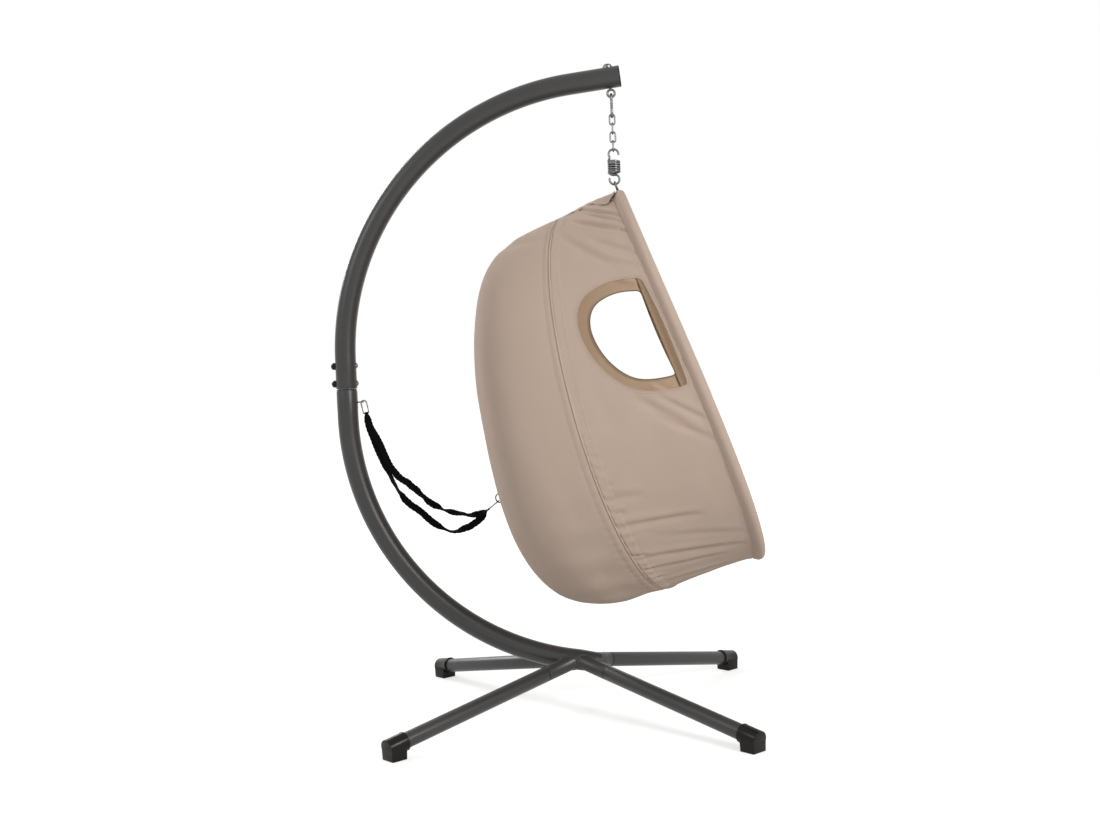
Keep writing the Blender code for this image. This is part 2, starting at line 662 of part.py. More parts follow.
def make_snap(names, finish, parents, sizes):
    """A snap hook's body and its sprung gate, which turns on the lower end of the opening."""
    wire, length, bend, corner, nose, pivot, gate_wire = sizes
    body_parent, gate_parent = parents
    gate_radius = gate_wire / 2
    path = snap_path(length, bend, corner, nose, pivot + gate_radius + GAP)
    add(names[0], curve_mesh(names[0], path, wire / 2, WIRE_SIDES), finish, body_parent)
    tip = pivot - nose - 2 * GAP
    chamfer = gate_radius * GATE_CHAMFER
    profile = [(0, tip), (gate_radius - chamfer, tip), (gate_radius, tip - chamfer)]
    profile += [(gate_radius * math.cos(a), -gate_radius * math.sin(a)) for a in DOME_ANGLES]
    profile += [(0, -gate_radius)]
    turned(names[1], profile, finish, gate_parent, (0, 0, 0), (0, 0, 0), steps=10)


def make_hanging_gear():
    swing = empty("pod_swing_axis", CHAIR, (HANG_X, 0, SWING_HEIGHT))
    gate = empty("snap_gate_axis", swing, (0, -SNAP_BEND_RADIUS, -SNAP_GATE_PIVOT))
    bend = SNAP_BEND_RADIUS
    sizes = (SNAP_WIRE, SNAP_LENGTH, bend, bend, SNAP_NOSE, SNAP_GATE_PIVOT, SNAP_GATE_WIRE)
    make_snap(("snap_hook", "snap_hook_gate"), "zinc_plate", (swing, gate), sizes)
    sway = empty("pod_sway_axis", swing, (0, 0, SWAY_HEIGHT - SWING_HEIGHT))
    bend = (CHAIN_WIDTH - CHAIN_WIRE) / 2
    height = CHAIN_PITCH + CHAIN_WIRE
    flat = arc((0, -bend), bend, 0, math.pi, 6) + arc((0, -height + bend), bend, math.pi, 2 * math.pi, 6)
    for index in range(CHAIN_LINKS):
        name = f"chain_link_{index + 1}"
        points = [(x, 0, z) if index % 2 == 0 else (0, x, z) for x, z in flat]
        link = curve_mesh(name, points, CHAIN_WIRE / 2, WIRE_SIDES, closed=True)
        add(name, link, "zinc_plate", sway, (0, 0, -index * LINK_STEP))
    turn = empty("pod_turn_axis", sway, (0, 0, HOOK_TOP - SWAY_HEIGHT))
    points = spring_path()
    add("hanging_spring", curve_mesh("hanging_spring", points, SPRING_WIRE / 2, SPRING_SIDES), "zinc_plate", turn)
    print(f"hanging_spring: least gap to itself {1000 * least_gap(points, SPRING_WIRE):.2f} mm")
    return turn


def spring_path():
    """One wire: an open hook on top, the close coil, and an open hook below, from the top of the upper hook."""
    upper_centre = (0, -HOOK_RADIUS)
    points = [(x, 0, z) for x, z in arc(upper_centre, HOOK_RADIUS, *SPRING_UPPER_HOOK, 10)]
    coil_top = COIL_TOP - HOOK_TOP
    for step in range(SPRING_TURNS * SPRING_POINTS_PER_TURN + 1):
        turn = step / SPRING_POINTS_PER_TURN
        angle = math.pi + 2 * math.pi * turn
        points.append((COIL_RADIUS * math.cos(angle), COIL_RADIUS * math.sin(angle), coil_top - SPRING_PITCH * turn))
    lower_centre = (0, LOWER_HOOK_CENTRE - HOOK_TOP)
    points.append((SPRING_LEAD[0] * HOOK_RADIUS, 0, lower_centre[1] + SPRING_LEAD[1] * HOOK_RADIUS))
    hook = arc(lower_centre, HOOK_RADIUS, *SPRING_LOWER_HOOK, 11)
    return points + [(x, 0, z) for x, z in hook]


def least_gap(points, wire, count=600, apart=3):
    """Least clear distance between stretches of one wire that are more than a few wire widths apart along it."""
    dense = along([Vector(point) for point in points], 0, 0, count)
    spacing = (dense[1] - dense[0]).length
    skip = int(apart * wire / spacing)
    least = math.inf
    for index, first in enumerate(dense):
        for second in dense[index + skip :]:
            least = min(least, (first - second).length)
    return least - wire


# Pod

def egg(t):
    """Half width and height on the hoop's outline; t runs from 0 at the top to pi at the bottom."""
    half_width = HOOP_HALF_WIDTH * math.sin(t) ** HOOP_FULLNESS * (1 - HOOP_EGG * math.cos(t))
    return half_width, -HOOP_HEIGHT / 2 * (1 - math.cos(t))


def rod_depth(t):
    """How far the mid rod lies behind the front hoop: its sides are bowed back."""
    mean = (ROD_DEPTH_TOP + ROD_DEPTH_BOTTOM) / 2
    half = (ROD_DEPTH_TOP - ROD_DEPTH_BOTTOM) / 2
    return mean + half * math.cos(t) + ROD_DEPTH_BOW * math.sin(t)


def hoop_bow(t):
    """How far the front hoop's sides lie in front of its top and bottom: they spread forward low down."""
    return HOOP_BOW * math.sin(t) * (HOOP_BOW_START - math.cos(t))


def half_outline(depth_of, inset, samples=720):
    """Dense points on the sitter's left half of a hoop, top to bottom, inset from the front hoop's outline."""
    points = []
    for step in range(samples + 1):
        t = math.pi * step / samples
        width, height = egg(t)
        width = max(width - inset * math.sin(t), 0)
        points.append(Vector((-depth_of(t), width, height - inset * math.cos(t))))
    return points


FRONT_HALF = half_outline(lambda t: -hoop_bow(t), 0)
ROD_HALF = half_outline(rod_depth, ROD_INSET)


class Outline:
    """A half hoop that gives its point and outward normal at a share of its length."""

    def __init__(self, dense, steps=400):
        self.steps = steps
        self.points = along(dense, 0, 0, steps)

    def point(self, share):
        spot = min(max(share, 0), 1) * self.steps
        index = min(int(spot), self.steps - 1)
        return self.points[index].lerp(self.points[index + 1], spot - index)

    def normal(self, share):
        step = 1.5 / self.steps
        run = self.point(share + step) - self.point(share - step)
        if share < step or share > 1 - step:
            return Vector((0, 0, 1 if share < 0.5 else -1))
        return Vector((0, -run.z, run.y)).normalized()


FRONT = Outline(FRONT_HALF)
ROD = Outline(ROD_HALF)


def fold_depth(share):
    """Folds across the side panels where the cloth is gathered, near the top and near the bottom."""
    wave = math.cos(2 * math.pi * FOLD_COUNT * share)
    top = math.exp(-(((share - TOP_FOLD_PLACE) / TOP_FOLD_SPREAD) ** 2))
    bottom = math.exp(-(((share - BOTTOM_FOLD_PLACE) / BOTTOM_FOLD_SPREAD) ** 2))
    return wave * (TOP_FOLD * top + BOTTOM_FOLD * bottom)


def sleeve_section():
    """Points (back, out) of the cloth round the front hoop, from the panel round the front to the tucked tail."""
    stand_out = SLEEVE_STAND_OUT * SLEEVE_RADIUS
    section = [(SLEEVE_REACH * SLEEVE_RADIUS, stand_out)]
    for step in range(SLEEVE_STEPS + 1):
        angle = SLEEVE_START - SLEEVE_TURN * step / SLEEVE_STEPS
        section.append((-SLEEVE_RADIUS * math.cos(angle), SLEEVE_RADIUS * math.sin(angle)))
    section.append((SLEEVE_TAIL_REACH * SLEEVE_RADIUS, stand_out - SLEEVE_TUCK))
    return section


SLEEVE = sleeve_section()
PANEL_STEPS = PANEL_COLUMNS + len(SLEEVE) - 1


def panel_share(row):
    """Rows lie closer together near the top and bottom, where the folds are."""
    return row - ROW_CROWDING * math.sin(2 * math.pi * row)


def side_panel_point(row, column):
    """Point of the left side panel's middle surface."""
    share = panel_share(row)
    front = FRONT.point(share)
    rod = ROD.point(share)
    outward = FRONT.normal(share)
    back = (rod - front).normalized()
    outward = (outward - back * outward.dot(back)).normalized()
    step = column * PANEL_STEPS
    if step > PANEL_COLUMNS:
        index = min(int(round(step)) - PANEL_COLUMNS, len(SLEEVE) - 1)
        behind, out = SLEEVE[index]
        point = front + back * behind + outward * out
    else:
        across = step / PANEL_COLUMNS
        start = rod - back * (CASING_RADIUS + CLOTH / 2 + GAP)
        behind, out = SLEEVE[0]
        end = front + back * behind + outward * out
        hollow = math.sin(math.pi * across)
        point = start.lerp(end, across) - outward * hollow * (PANEL_SAG + fold_depth(share))
    point.y = max(point.y, SEAM_HALF_GAP)
    return point


def back_panel_point(row, column):
    """Point of the back panel's middle surface; rows run round the rod, columns from the middle out."""
    share = panel_share(2 * row if row <= 0.5 else 2 * (1 - row))
    side = 1 if row <= 0.5 else -1
    rim = ROD.point(share)
    outward = ROD.normal(share)
    rings = column * (BACK_RINGS + CASING_STEPS)
    if rings <= BACK_RINGS:
        point = dome_point(rim + outward * CASING_RADIUS, rings / BACK_RINGS)
    else:
        angle = math.pi / 2 - CASING_TURN * (rings - BACK_RINGS) / CASING_STEPS
        forward = Vector((1, 0, 0))
        point = rim + (forward * math.cos(angle) + outward * math.sin(angle)) * CASING_RADIUS
    return Vector((point.x, side * point.y, point.z))


def dome_point(rim, share):
    """Point on the bulged back between its middle (share 0) and a point of its rim (share 1)."""
    upward = min(max(1 + 2 * rim.z / HOOP_HEIGHT, -1), 1)
    squareness = BACK_SQUARENESS - BACK_SQUARENESS_LOWER * upward
    turn = share * math.pi / 2
    reach = math.sin(turn) ** (2 / squareness)
    bulge = math.cos(turn) ** (2 / squareness) if share < 1 else 0
    middle = Vector((0, 0, -HOOP_HEIGHT / 2))
    flat = middle.lerp(Vector((0, rim.y, rim.z)), reach)
    mean = (ROD_DEPTH_TOP + ROD_DEPTH_BOTTOM) / 2
    tilt = (ROD_DEPTH_TOP - ROD_DEPTH_BOTTOM) / 2 * upward * reach
    side_bow = -rim.x - mean - (ROD_DEPTH_TOP - ROD_DEPTH_BOTTOM) / 2 * upward
    depth = mean + tilt + side_bow * reach**BACK_SIDE_FADE
    depth += BACK_DEPTH * (1 - BACK_LOWER_SWELL * upward * reach) * bulge
    return Vector((-depth, flat.y, flat.z))


def stretch(line, start, end):
    """The part of a line of points between two distances along it, with the line's own points in between."""
    kept = []
    done = 0.0
    for first, second in zip(line, line[1:]):
        step = (second - first).length
        if done <= start < done + step:
            kept.append(first.lerp(second, (start - done) / step))
        elif start < done < end:
            kept.append(first)
        if done < end <= done + step:
            kept.append(first.lerp(second, (end - done) / step))
        done += step
    return kept


def both_sides(half):
    """A line that starts on the middle plane, with its mirror image before it."""
    return [Vector((point.x, -point.y, point.z)) for point in half[:0:-1]] + half


def make_hoops(pod):
    """The front hoop's two tubes with their connectors, and the mid rod."""
    line = [FRONT.point(panel_share(row / PANEL_ROWS)) for row in range(PANEL_ROWS + 1)]
    length = sum((second - first).length for first, second in zip(line, line[1:]))
    for name, side in (("left", 1), ("right", -1)):
        half = stretch(line, CROWN_HALF_LENGTH + GAP, length - HOOP_SEAM_HALF)
        points = [(point.x, side * point.y, point.z) for point in half]
        tube = curve_mesh(f"front_hoop_{name}", points, HOOP_RADIUS, HOOP_SIDES, capped=False)
        hoop = add(f"front_hoop_{name}", tube, "powder_coat", pod)
        wall(hoop, HOOP_WALL, -1)
    spigot = (HOOP_RADIUS - HOOP_WALL) * math.cos(math.pi / HOOP_SIDES) - GAP
    top_line = both_sides(stretch(line, 0, CONNECTOR_HALF_LENGTH))
    bottom_line = both_sides(stretch(line[::-1], 0, CONNECTOR_HALF_LENGTH))
    crown = add("front_hoop_crown", curve_mesh("front_hoop_crown", top_line, spigot, SPIGOT_SIDES), "powder_coat", pod)
    collar_line = both_sides(stretch(line, 0, CROWN_HALF_LENGTH))
    collar = curve_mesh("crown_collar", collar_line, HOOP_RADIUS, HOOP_SIDES)
    boolean(crown, add_cutter("crown_collar", collar, pod), "UNION")
    stem = cylinder_mesh("crown_stem", POD_EYE_STEM / 2, (0, 0, 0), (0, 0, POD_EYE_RISE - POD_EYE_RADIUS), 10)
    boolean(crown, add_cutter("crown_stem", stem, pod), "UNION")
    ring = [(0, y, z + POD_EYE_RISE) for y, _, z in ring_points(POD_EYE_RADIUS, 12)]
    eye = curve_mesh("crown_eye", ring, POD_EYE_WIRE / 2, WIRE_SIDES, closed=True)
    boolean(crown, add_cutter("crown_eye", eye, pod), "UNION")
    add("front_hoop_joiner", curve_mesh("front_hoop_joiner", bottom_line, spigot, SPIGOT_SIDES), "powder_coat", pod)
    rod_half = [ROD.point(panel_share(row / PANEL_ROWS)) for row in range(PANEL_ROWS + 1)]
    rod_line = both_sides(rod_half)[1:]
    add("mid_rod", curve_mesh("mid_rod", rod_line, ROD_RADIUS, ROD_SIDES, closed=True), "glass_fibre", pod)


def window_cutter(pod):
    """Cutter through both side panels in the outline of the windows."""
    curve = bpy.data.curves.new("window_cutter", "CURVE")
    curve.dimensions = "2D"
    curve.fill_mode = "BOTH"
    curve.extrude = 2 * HOOP_HALF_WIDTH
    curve.resolution_u = 6
    spline = curve.splines.new("BEZIER")
    spline.bezier_points.add(len(WINDOW_OUTLINE) - 1)
    spline.use_cyclic_u = True
    for knot, (x, z) in zip(spline.bezier_points, WINDOW_OUTLINE):
        corner = (x, z) in (WINDOW_OUTLINE[0], WINDOW_OUTLINE[-1])
        knot.co = (x, z, 0)
        knot.handle_left_type = "VECTOR" if corner else "AUTO"
        knot.handle_right_type = "VECTOR" if corner else "AUTO"
    guide = bpy.data.objects.new("window_guide", curve)
    CUTTERS.objects.link(guide)
    bpy.context.view_layer.update()
    graph = bpy.context.evaluated_depsgraph_get()
    raw = bpy.data.meshes.new_from_object(guide.evaluated_get(graph))
    bpy.data.objects.remove(guide)
    bpy.data.curves.remove(curve)
    work = bmesh.new()
    work.from_mesh(raw)
    bpy.data.meshes.remove(raw)
    bmesh.ops.remove_doubles(work, verts=work.verts, dist=WELD)
    work.transform(Matrix.Rotation(math.pi / 2, 4, "X"))
    return add_cutter("window_cutter", mesh_from("window_cutter", work), pod)


def make_panels(pod):
    window = window_cutter(pod)
    slot_mesh = cylinder_mesh("eye_slot", EYE_SLOT / 2, (0, 0, 0), (0, 0, POD_EYE_RISE + POD_EYE_RADIUS), 12)
    slot = add_cutter("eye_slot", slot_mesh, pod)
    for name, side in (("left", 1), ("right", -1)):
        def place(row, column):
            point = side_panel_point(row, column)
            return Vector((point.x, side * point.y, point.z))

        mesh = grid_mesh(f"{name}_side_panel", PANEL_ROWS, PANEL_STEPS, place)
        panel = add(f"{name}_side_panel", mesh, "pod_cloth", pod)
        wall(panel, CLOTH, 0)
        boolean(panel, window, "DIFFERENCE")
        boolean(panel, slot, "DIFFERENCE")
    mesh = grid_mesh("back_panel", 2 * PANEL_ROWS, BACK_RINGS + CASING_STEPS, back_panel_point)
    panel = add("back_panel", mesh, "pod_cloth", pod)
    wall(panel, CLOTH, 0)


def pad_mesh(name, size):
    """A stuffed pad: a squared ball, crowned on its faces, with sides drawn in between its corners."""
    work = bmesh.new()
    bmesh.ops.create_uvsphere(work, u_segments=PAD_SEGMENTS, v_segments=PAD_RINGS, radius=1)

    def squared(value):
        return math.copysign(abs(value) ** PAD_SQUARENESS, value)

    for vert in work.verts:
        heading = math.atan2(vert.co.y, vert.co.x)
        level = math.asin(max(-1, min(1, vert.co.z)))
        flat = math.cos(level) ** PAD_CROWN
        x = flat * squared(math.cos(heading))
        y = flat * squared(math.sin(heading))
        draw_in = 1 - PAD_DRAW_IN * (1 - math.sin(2 * heading) ** 2)
        vert.co = (x * draw_in * size[0] / 2, y * draw_in * size[1] / 2, math.sin(level) * size[2] / 2)
    bmesh.ops.remove_doubles(work, verts=work.verts, dist=0.0001)
    return mesh_from(name, work)


def rays_and_tree(mesh):
    """Points along a mesh's edges, to cast rays from, and a tree of its faces, to cast rays at."""
    places = [vert.co.copy() for vert in mesh.vertices]
    shares = [step / EDGE_SAMPLES for step in range(EDGE_SAMPLES)]
    ends = [(places[edge.vertices[0]], places[edge.vertices[1]]) for edge in mesh.edges]
    points = [first.lerp(second, share) for first, second in ends for share in shares]
    return points, BVHTree.FromPolygons(places, [face.vertices[:] for face in mesh.polygons])


def settle(part, direction, carriers):
    """Moves a pad along a direction, in the pod's frame, until it lies on the pieces that carry it."""
    bpy.context.view_layer.update()
    graph = bpy.context.evaluated_depsgraph_get()
    pad = part.data.copy()
    pad.transform(part.matrix_local)
    pad_points, pad_tree = rays_and_tree(pad)
    bpy.data.meshes.remove(pad)
    least = math.inf
    for carrier in carriers:
        mesh = bpy.data.meshes.new_from_object(carrier.evaluated_get(graph))
        mesh.transform(carrier.matrix_local)
        points, tree = rays_and_tree(mesh)
        bpy.data.meshes.remove(mesh)
        for target, starts, way in ((tree, pad_points, direction), (pad_tree, points, -direction)):
            for point in starts:
                reach = target.ray_cast(point, way)[3]
                least = least if reach is None else min(least, reach)
    part.location += direction * (least - 2 * GAP)


def make_cushions(pod):
    panels = [PARTS.objects[name] for name in ("left_side_panel", "right_side_panel", "back_panel")]
    x, z = SEAT_PAD_PLACE
    seat = add("seat_cushion", pad_mesh("seat_cushion", SEAT_PAD), "pad_cloth", pod, (x, 0, z))
    settle(seat, Vector((0, 0, -1)), panels)
    x, z = BACK_PAD_PLACE
    depth, width, height = BACK_PAD
    mesh = pad_mesh("back_cushion", (height, width, depth))
    back = add("back_cushion", mesh, "pad_cloth", pod, (x, 0, z), (0, math.pi / 2 - BACK_PAD_LEAN, 0))
    settle(back, Vector((-1, 0, 0)), panels)


# Tether

EYE_HEIGHT = UPPER_TUBE_FOOT - TETHER_EYE_DROP
TETHER_EYE_CENTRE = Vector((-BOW_BACK + BOW_RADIUS + TETHER_EYE_STANDOFF + TETHER_EYE_RADIUS, 0, EYE_HEIGHT))
BOW_HOOK_TOP = TETHER_EYE_CENTRE + Vector((TETHER_EYE_RADIUS, 0, TETHER_WIRE + GAP))


def chair_point(pair):
    """A point of the strap's route, given by its distances in front of the hub and above the floor."""
    return Vector((pair[0], 0, pair[1]))


def to_chair(point):
    """From the pod's frame to the chair's."""
    return POD_ORIGIN + POD_FORWARD * point.x + Vector((0, point.y, 0)) + POD_UP * point.z


def to_pod(way):
    """A direction of the chair's frame in the pod's frame."""
    return Vector((way.dot(POD_FORWARD), way.y, way.dot(POD_UP)))


def tab_place(halvings=40, reach=0.02):
    """Point on the back panel under the tab, and the directions down the panel and out of it there."""
    rim = ROD.point(1) - Vector((0, 0, CASING_RADIUS))
    low, high = 0.0, 1.0
    for _ in range(halvings):
        share = (low + high) / 2
        if dome_point(rim, share).z > TAB_HEIGHT:
            low = share
        else:
            high = share
    down = (dome_point(rim, share + reach) - dome_point(rim, share - reach)).normalized()
    return dome_point(rim, share), down, Vector((down.z, 0, -down.x))


TAB_POINT, TAB_DOWN, TAB_OUT = tab_place()
TAB_BACK = CLOTH / 2 + GAP
RING_BAR = TAB_BACK + STRAP_THICKNESS + GAP + RING_WIRE / 2
RING_HOLD = RING_RADIUS - RING_WIRE / 2 - TETHER_WIRE / 2 - GAP
POD_HOOK_TOP = TAB_POINT + TAB_OUT * RING_BAR + (TAB_OUT + TAB_DOWN).normalized() * RING_HOLD
BOW_HOOK_UP = (BOW_HOOK_TOP - chair_point(STRAP_UPPER[0])).normalized()
BOW_BAR = BOW_HOOK_TOP - BOW_HOOK_UP * HOOK_LENGTH
STRAP_MEETS_POD = (chair_point(STRAP_UPPER[-1]) + chair_point(STRAP_LOWER[-1])) / 2
POD_HOOK_UP = (to_chair(POD_HOOK_TOP) - STRAP_MEETS_POD).normalized()
POD_BAR = to_chair(POD_HOOK_TOP) - POD_HOOK_UP * HOOK_LENGTH


def wrap(centre, side, up, start, end):
    """Points of a ply that passes round a hook's bar, between two angles from the top of the bar."""
    angles = [start + (end - start) * step / 3 for step in range(4)]
    return [centre + (side * math.sin(a) + up * math.cos(a)) * STRAP_WRAP for a in angles]


def strap_ply(upper):
    """Middle points and width vectors of one ply, from the top of the bow hook's bar to the pod hook's."""
    route = STRAP_UPPER if upper else STRAP_LOWER
    points = smooth_through([BOW_BAR] + [chair_point(pair) for pair in route] + [POD_BAR], STRAP_STEPS)
    aside = Vector((0, -1 if upper else 1, 0))
    meeting = GAP / STRAP_WRAP
    pod_side = Vector((-POD_HOOK_UP.z, 0, POD_HOOK_UP.x)) * (1 if upper else -1)
    pod_start = STRAP_UPPER_WRAP if upper else STRAP_LOWER_WRAP
    bow_across = Vector((-BOW_HOOK_UP.z, 0, BOW_HOOK_UP.x))
    ply = [(point, bow_across * STRAP_END_WIDTH)
           for point in wrap(BOW_BAR, aside, BOW_HOOK_UP, meeting, math.pi / 2)]
    length = sum((b - a).length for a, b in zip(points, points[1:]))
    for index in range(1, STRAP_STEPS):
        share = index / STRAP_STEPS
        run = (points[index + 1] - points[index - 1]).normalized()
        parting = min(1, max(0, (share - STRAP_PLIES_PART) / (STRAP_PLIES_APART - STRAP_PLIES_PART)))
        across = Vector((run.z, 0, -run.x))
        twist = math.pi / 2 * min(1, max(0, (share - STRAP_PLIES_PART) / (STRAP_TWIST_END - STRAP_PLIES_PART)))
        opening = min(1, min(share, 1 - share) * length / STRAP_END_TAPER)
        width = STRAP_END_WIDTH + (STRAP_WIDTH - STRAP_END_WIDTH) * opening
        point = points[index] + aside * STRAP_PLY_OFFSET * (1 - parting)
        ply.append((point, (across * math.cos(twist) - Vector((0, 1, 0)) * math.sin(twist)) * width))
    ply += [(point, Vector((0, -STRAP_END_WIDTH, 0)))
            for point in wrap(POD_BAR, pod_side, POD_HOOK_UP, pod_start, meeting)]
    return ply


def make_strap(name, upper):
    """One ply of the webbing loop, narrowed where it passes through a hook."""
    ply = strap_ply(upper)

    def place(row, column):
        point, width = ply[round(row * (len(ply) - 1))]
        return point + width * (column - 0.5)

    strap = add(name, grid_mesh(name, len(ply) - 1, 2, place), "webbing", CHAIR)
    wall(strap, STRAP_THICKNESS, 0)


def make_bow_eye():
    """Eye on the inner side of the bow, lying flat, with its shank through the tube's wall."""
    ring = [(x, z, 0) for x, _, z in ring_points(TETHER_EYE_RADIUS, 12)]
    mesh = curve_mesh("bow_tether_eye", ring, TETHER_WIRE / 2, WIRE_SIDES, closed=True)
    eye = add("bow_tether_eye", mesh, "zinc_plate", CHAIR, TETHER_EYE_CENTRE)
    inner_end = -TETHER_EYE_RADIUS - TETHER_EYE_STANDOFF - BOW_WALL - 2 * TETHER_WIRE
    shank = cylinder_mesh("tether_shank", TETHER_WIRE / 2, (-TETHER_EYE_RADIUS, 0, 0), (inner_end, 0, 0), 10)
    boolean(eye, add_cutter("tether_shank", shank, CHAIR, TETHER_EYE_CENTRE), "UNION")


def make_tether_hook(name, parent, top, rotation):
    hook = empty(name + "_frame", parent, top, rotation)
    gate = empty(name + "_gate_axis", hook, (0, -HOOK_BEND_RADIUS, -HOOK_GATE_PIVOT))
    sizes = (TETHER_WIRE, HOOK_LENGTH, HOOK_BEND_RADIUS, HOOK_CORNER_RADIUS, HOOK_NOSE, HOOK_GATE_PIVOT,
             HOOK_GATE_WIRE)
    make_snap((name, name + "_gate"), "zinc_plate", (hook, gate), sizes)


def make_pod_ring(pod):
    """D-ring on the back of the pod, in a tab that is sewn across the panel."""
    turn = (0, math.atan2(-TAB_DOWN.x, -TAB_DOWN.z), 0)
    barrel = RING_WIRE / 2 + GAP + STRAP_THICKNESS
    work = bmesh.new()
    size = Matrix.Diagonal((STRAP_THICKNESS, TAB_LENGTH, TAB_WIDTH, 1))
    place = Matrix.Translation((-TAB_BACK - STRAP_THICKNESS / 2, 0, 0))
    bmesh.ops.create_cube(work, size=1, matrix=place @ size)
    tab = add("tether_tab", mesh_from("tether_tab", work), "webbing", pod, TAB_POINT, turn)
    half = TAB_WIDTH / 2
    loop = cylinder_mesh("tab_loop", barrel - GAP, (-RING_BAR, 0, -half), (-RING_BAR, 0, half), 14)
    boolean(tab, add_cutter("tab_loop", loop, pod, TAB_POINT, turn), "UNION")
    bore = cylinder_mesh("tab_bore", RING_WIRE / 2 + GAP, (-RING_BAR, 0, -TAB_WIDTH), (-RING_BAR, 0, TAB_WIDTH), 14)
    boolean(tab, add_cutter("tab_bore", bore, pod, TAB_POINT, turn), "DIFFERENCE")
    outline = arc((-RING_BAR, 0), RING_RADIUS, math.pi / 2, 1.5 * math.pi, 8)
    points = [(x, 0, z) for x, z in outline]
    mesh = curve_mesh("tether_ring", points, RING_WIRE / 2, WIRE_SIDES, closed=True)
    add("tether_ring", mesh, "zinc_plate", pod, TAB_POINT, turn)


def make_tether(pod):
    make_bow_eye()
    bow_lean = math.atan2(BOW_HOOK_UP.x, BOW_HOOK_UP.z)
    make_tether_hook("bow_tether_hook", CHAIR, BOW_HOOK_TOP, (bow_lean, 0, math.pi / 2))
    make_strap("tether_strap_upper", True)
    make_strap("tether_strap_lower", False)
    pod_up = to_pod(POD_HOOK_UP)
    make_tether_hook("pod_tether_hook", pod, POD_HOOK_TOP, (0, math.atan2(pod_up.x, pod_up.z), 0))
    make_pod_ring(pod)


def centre_chair():
    """Puts the origin under the middle of the whole chair, as measured along X."""
    bpy.context.view_layer.update()
    graph = bpy.context.evaluated_depsgraph_get()
    ends = []
    for part in PARTS.objects:
        if part.type == "MESH":
            mesh = bpy.data.meshes.new_from_object(part.evaluated_get(graph))
            ends += [(part.matrix_world @ vert.co).x for vert in mesh.vertices]
            bpy.data.meshes.remove(mesh)
    CHAIR.location.x -= (min(ends) + max(ends)) / 2


def main():
    make_upper_bow()
    make_lower_bow()
    make_legs()
    make_joint_bolts()
    make_arm_end()
    spring = make_hanging_gear()
    pod = empty("pod_frame", spring, POD_ORIGIN - Vector((HANG_X, 0, HOOK_TOP)), (0, -POD_TILT, 0))
    make_hoops(pod)
    make_panels(pod)
    make_cushions(pod)
    make_tether(pod)
    centre_chair()


main()
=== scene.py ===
"""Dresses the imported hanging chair: tubes, hanging gear, sewn pod, cushions and tether, with finishes."""

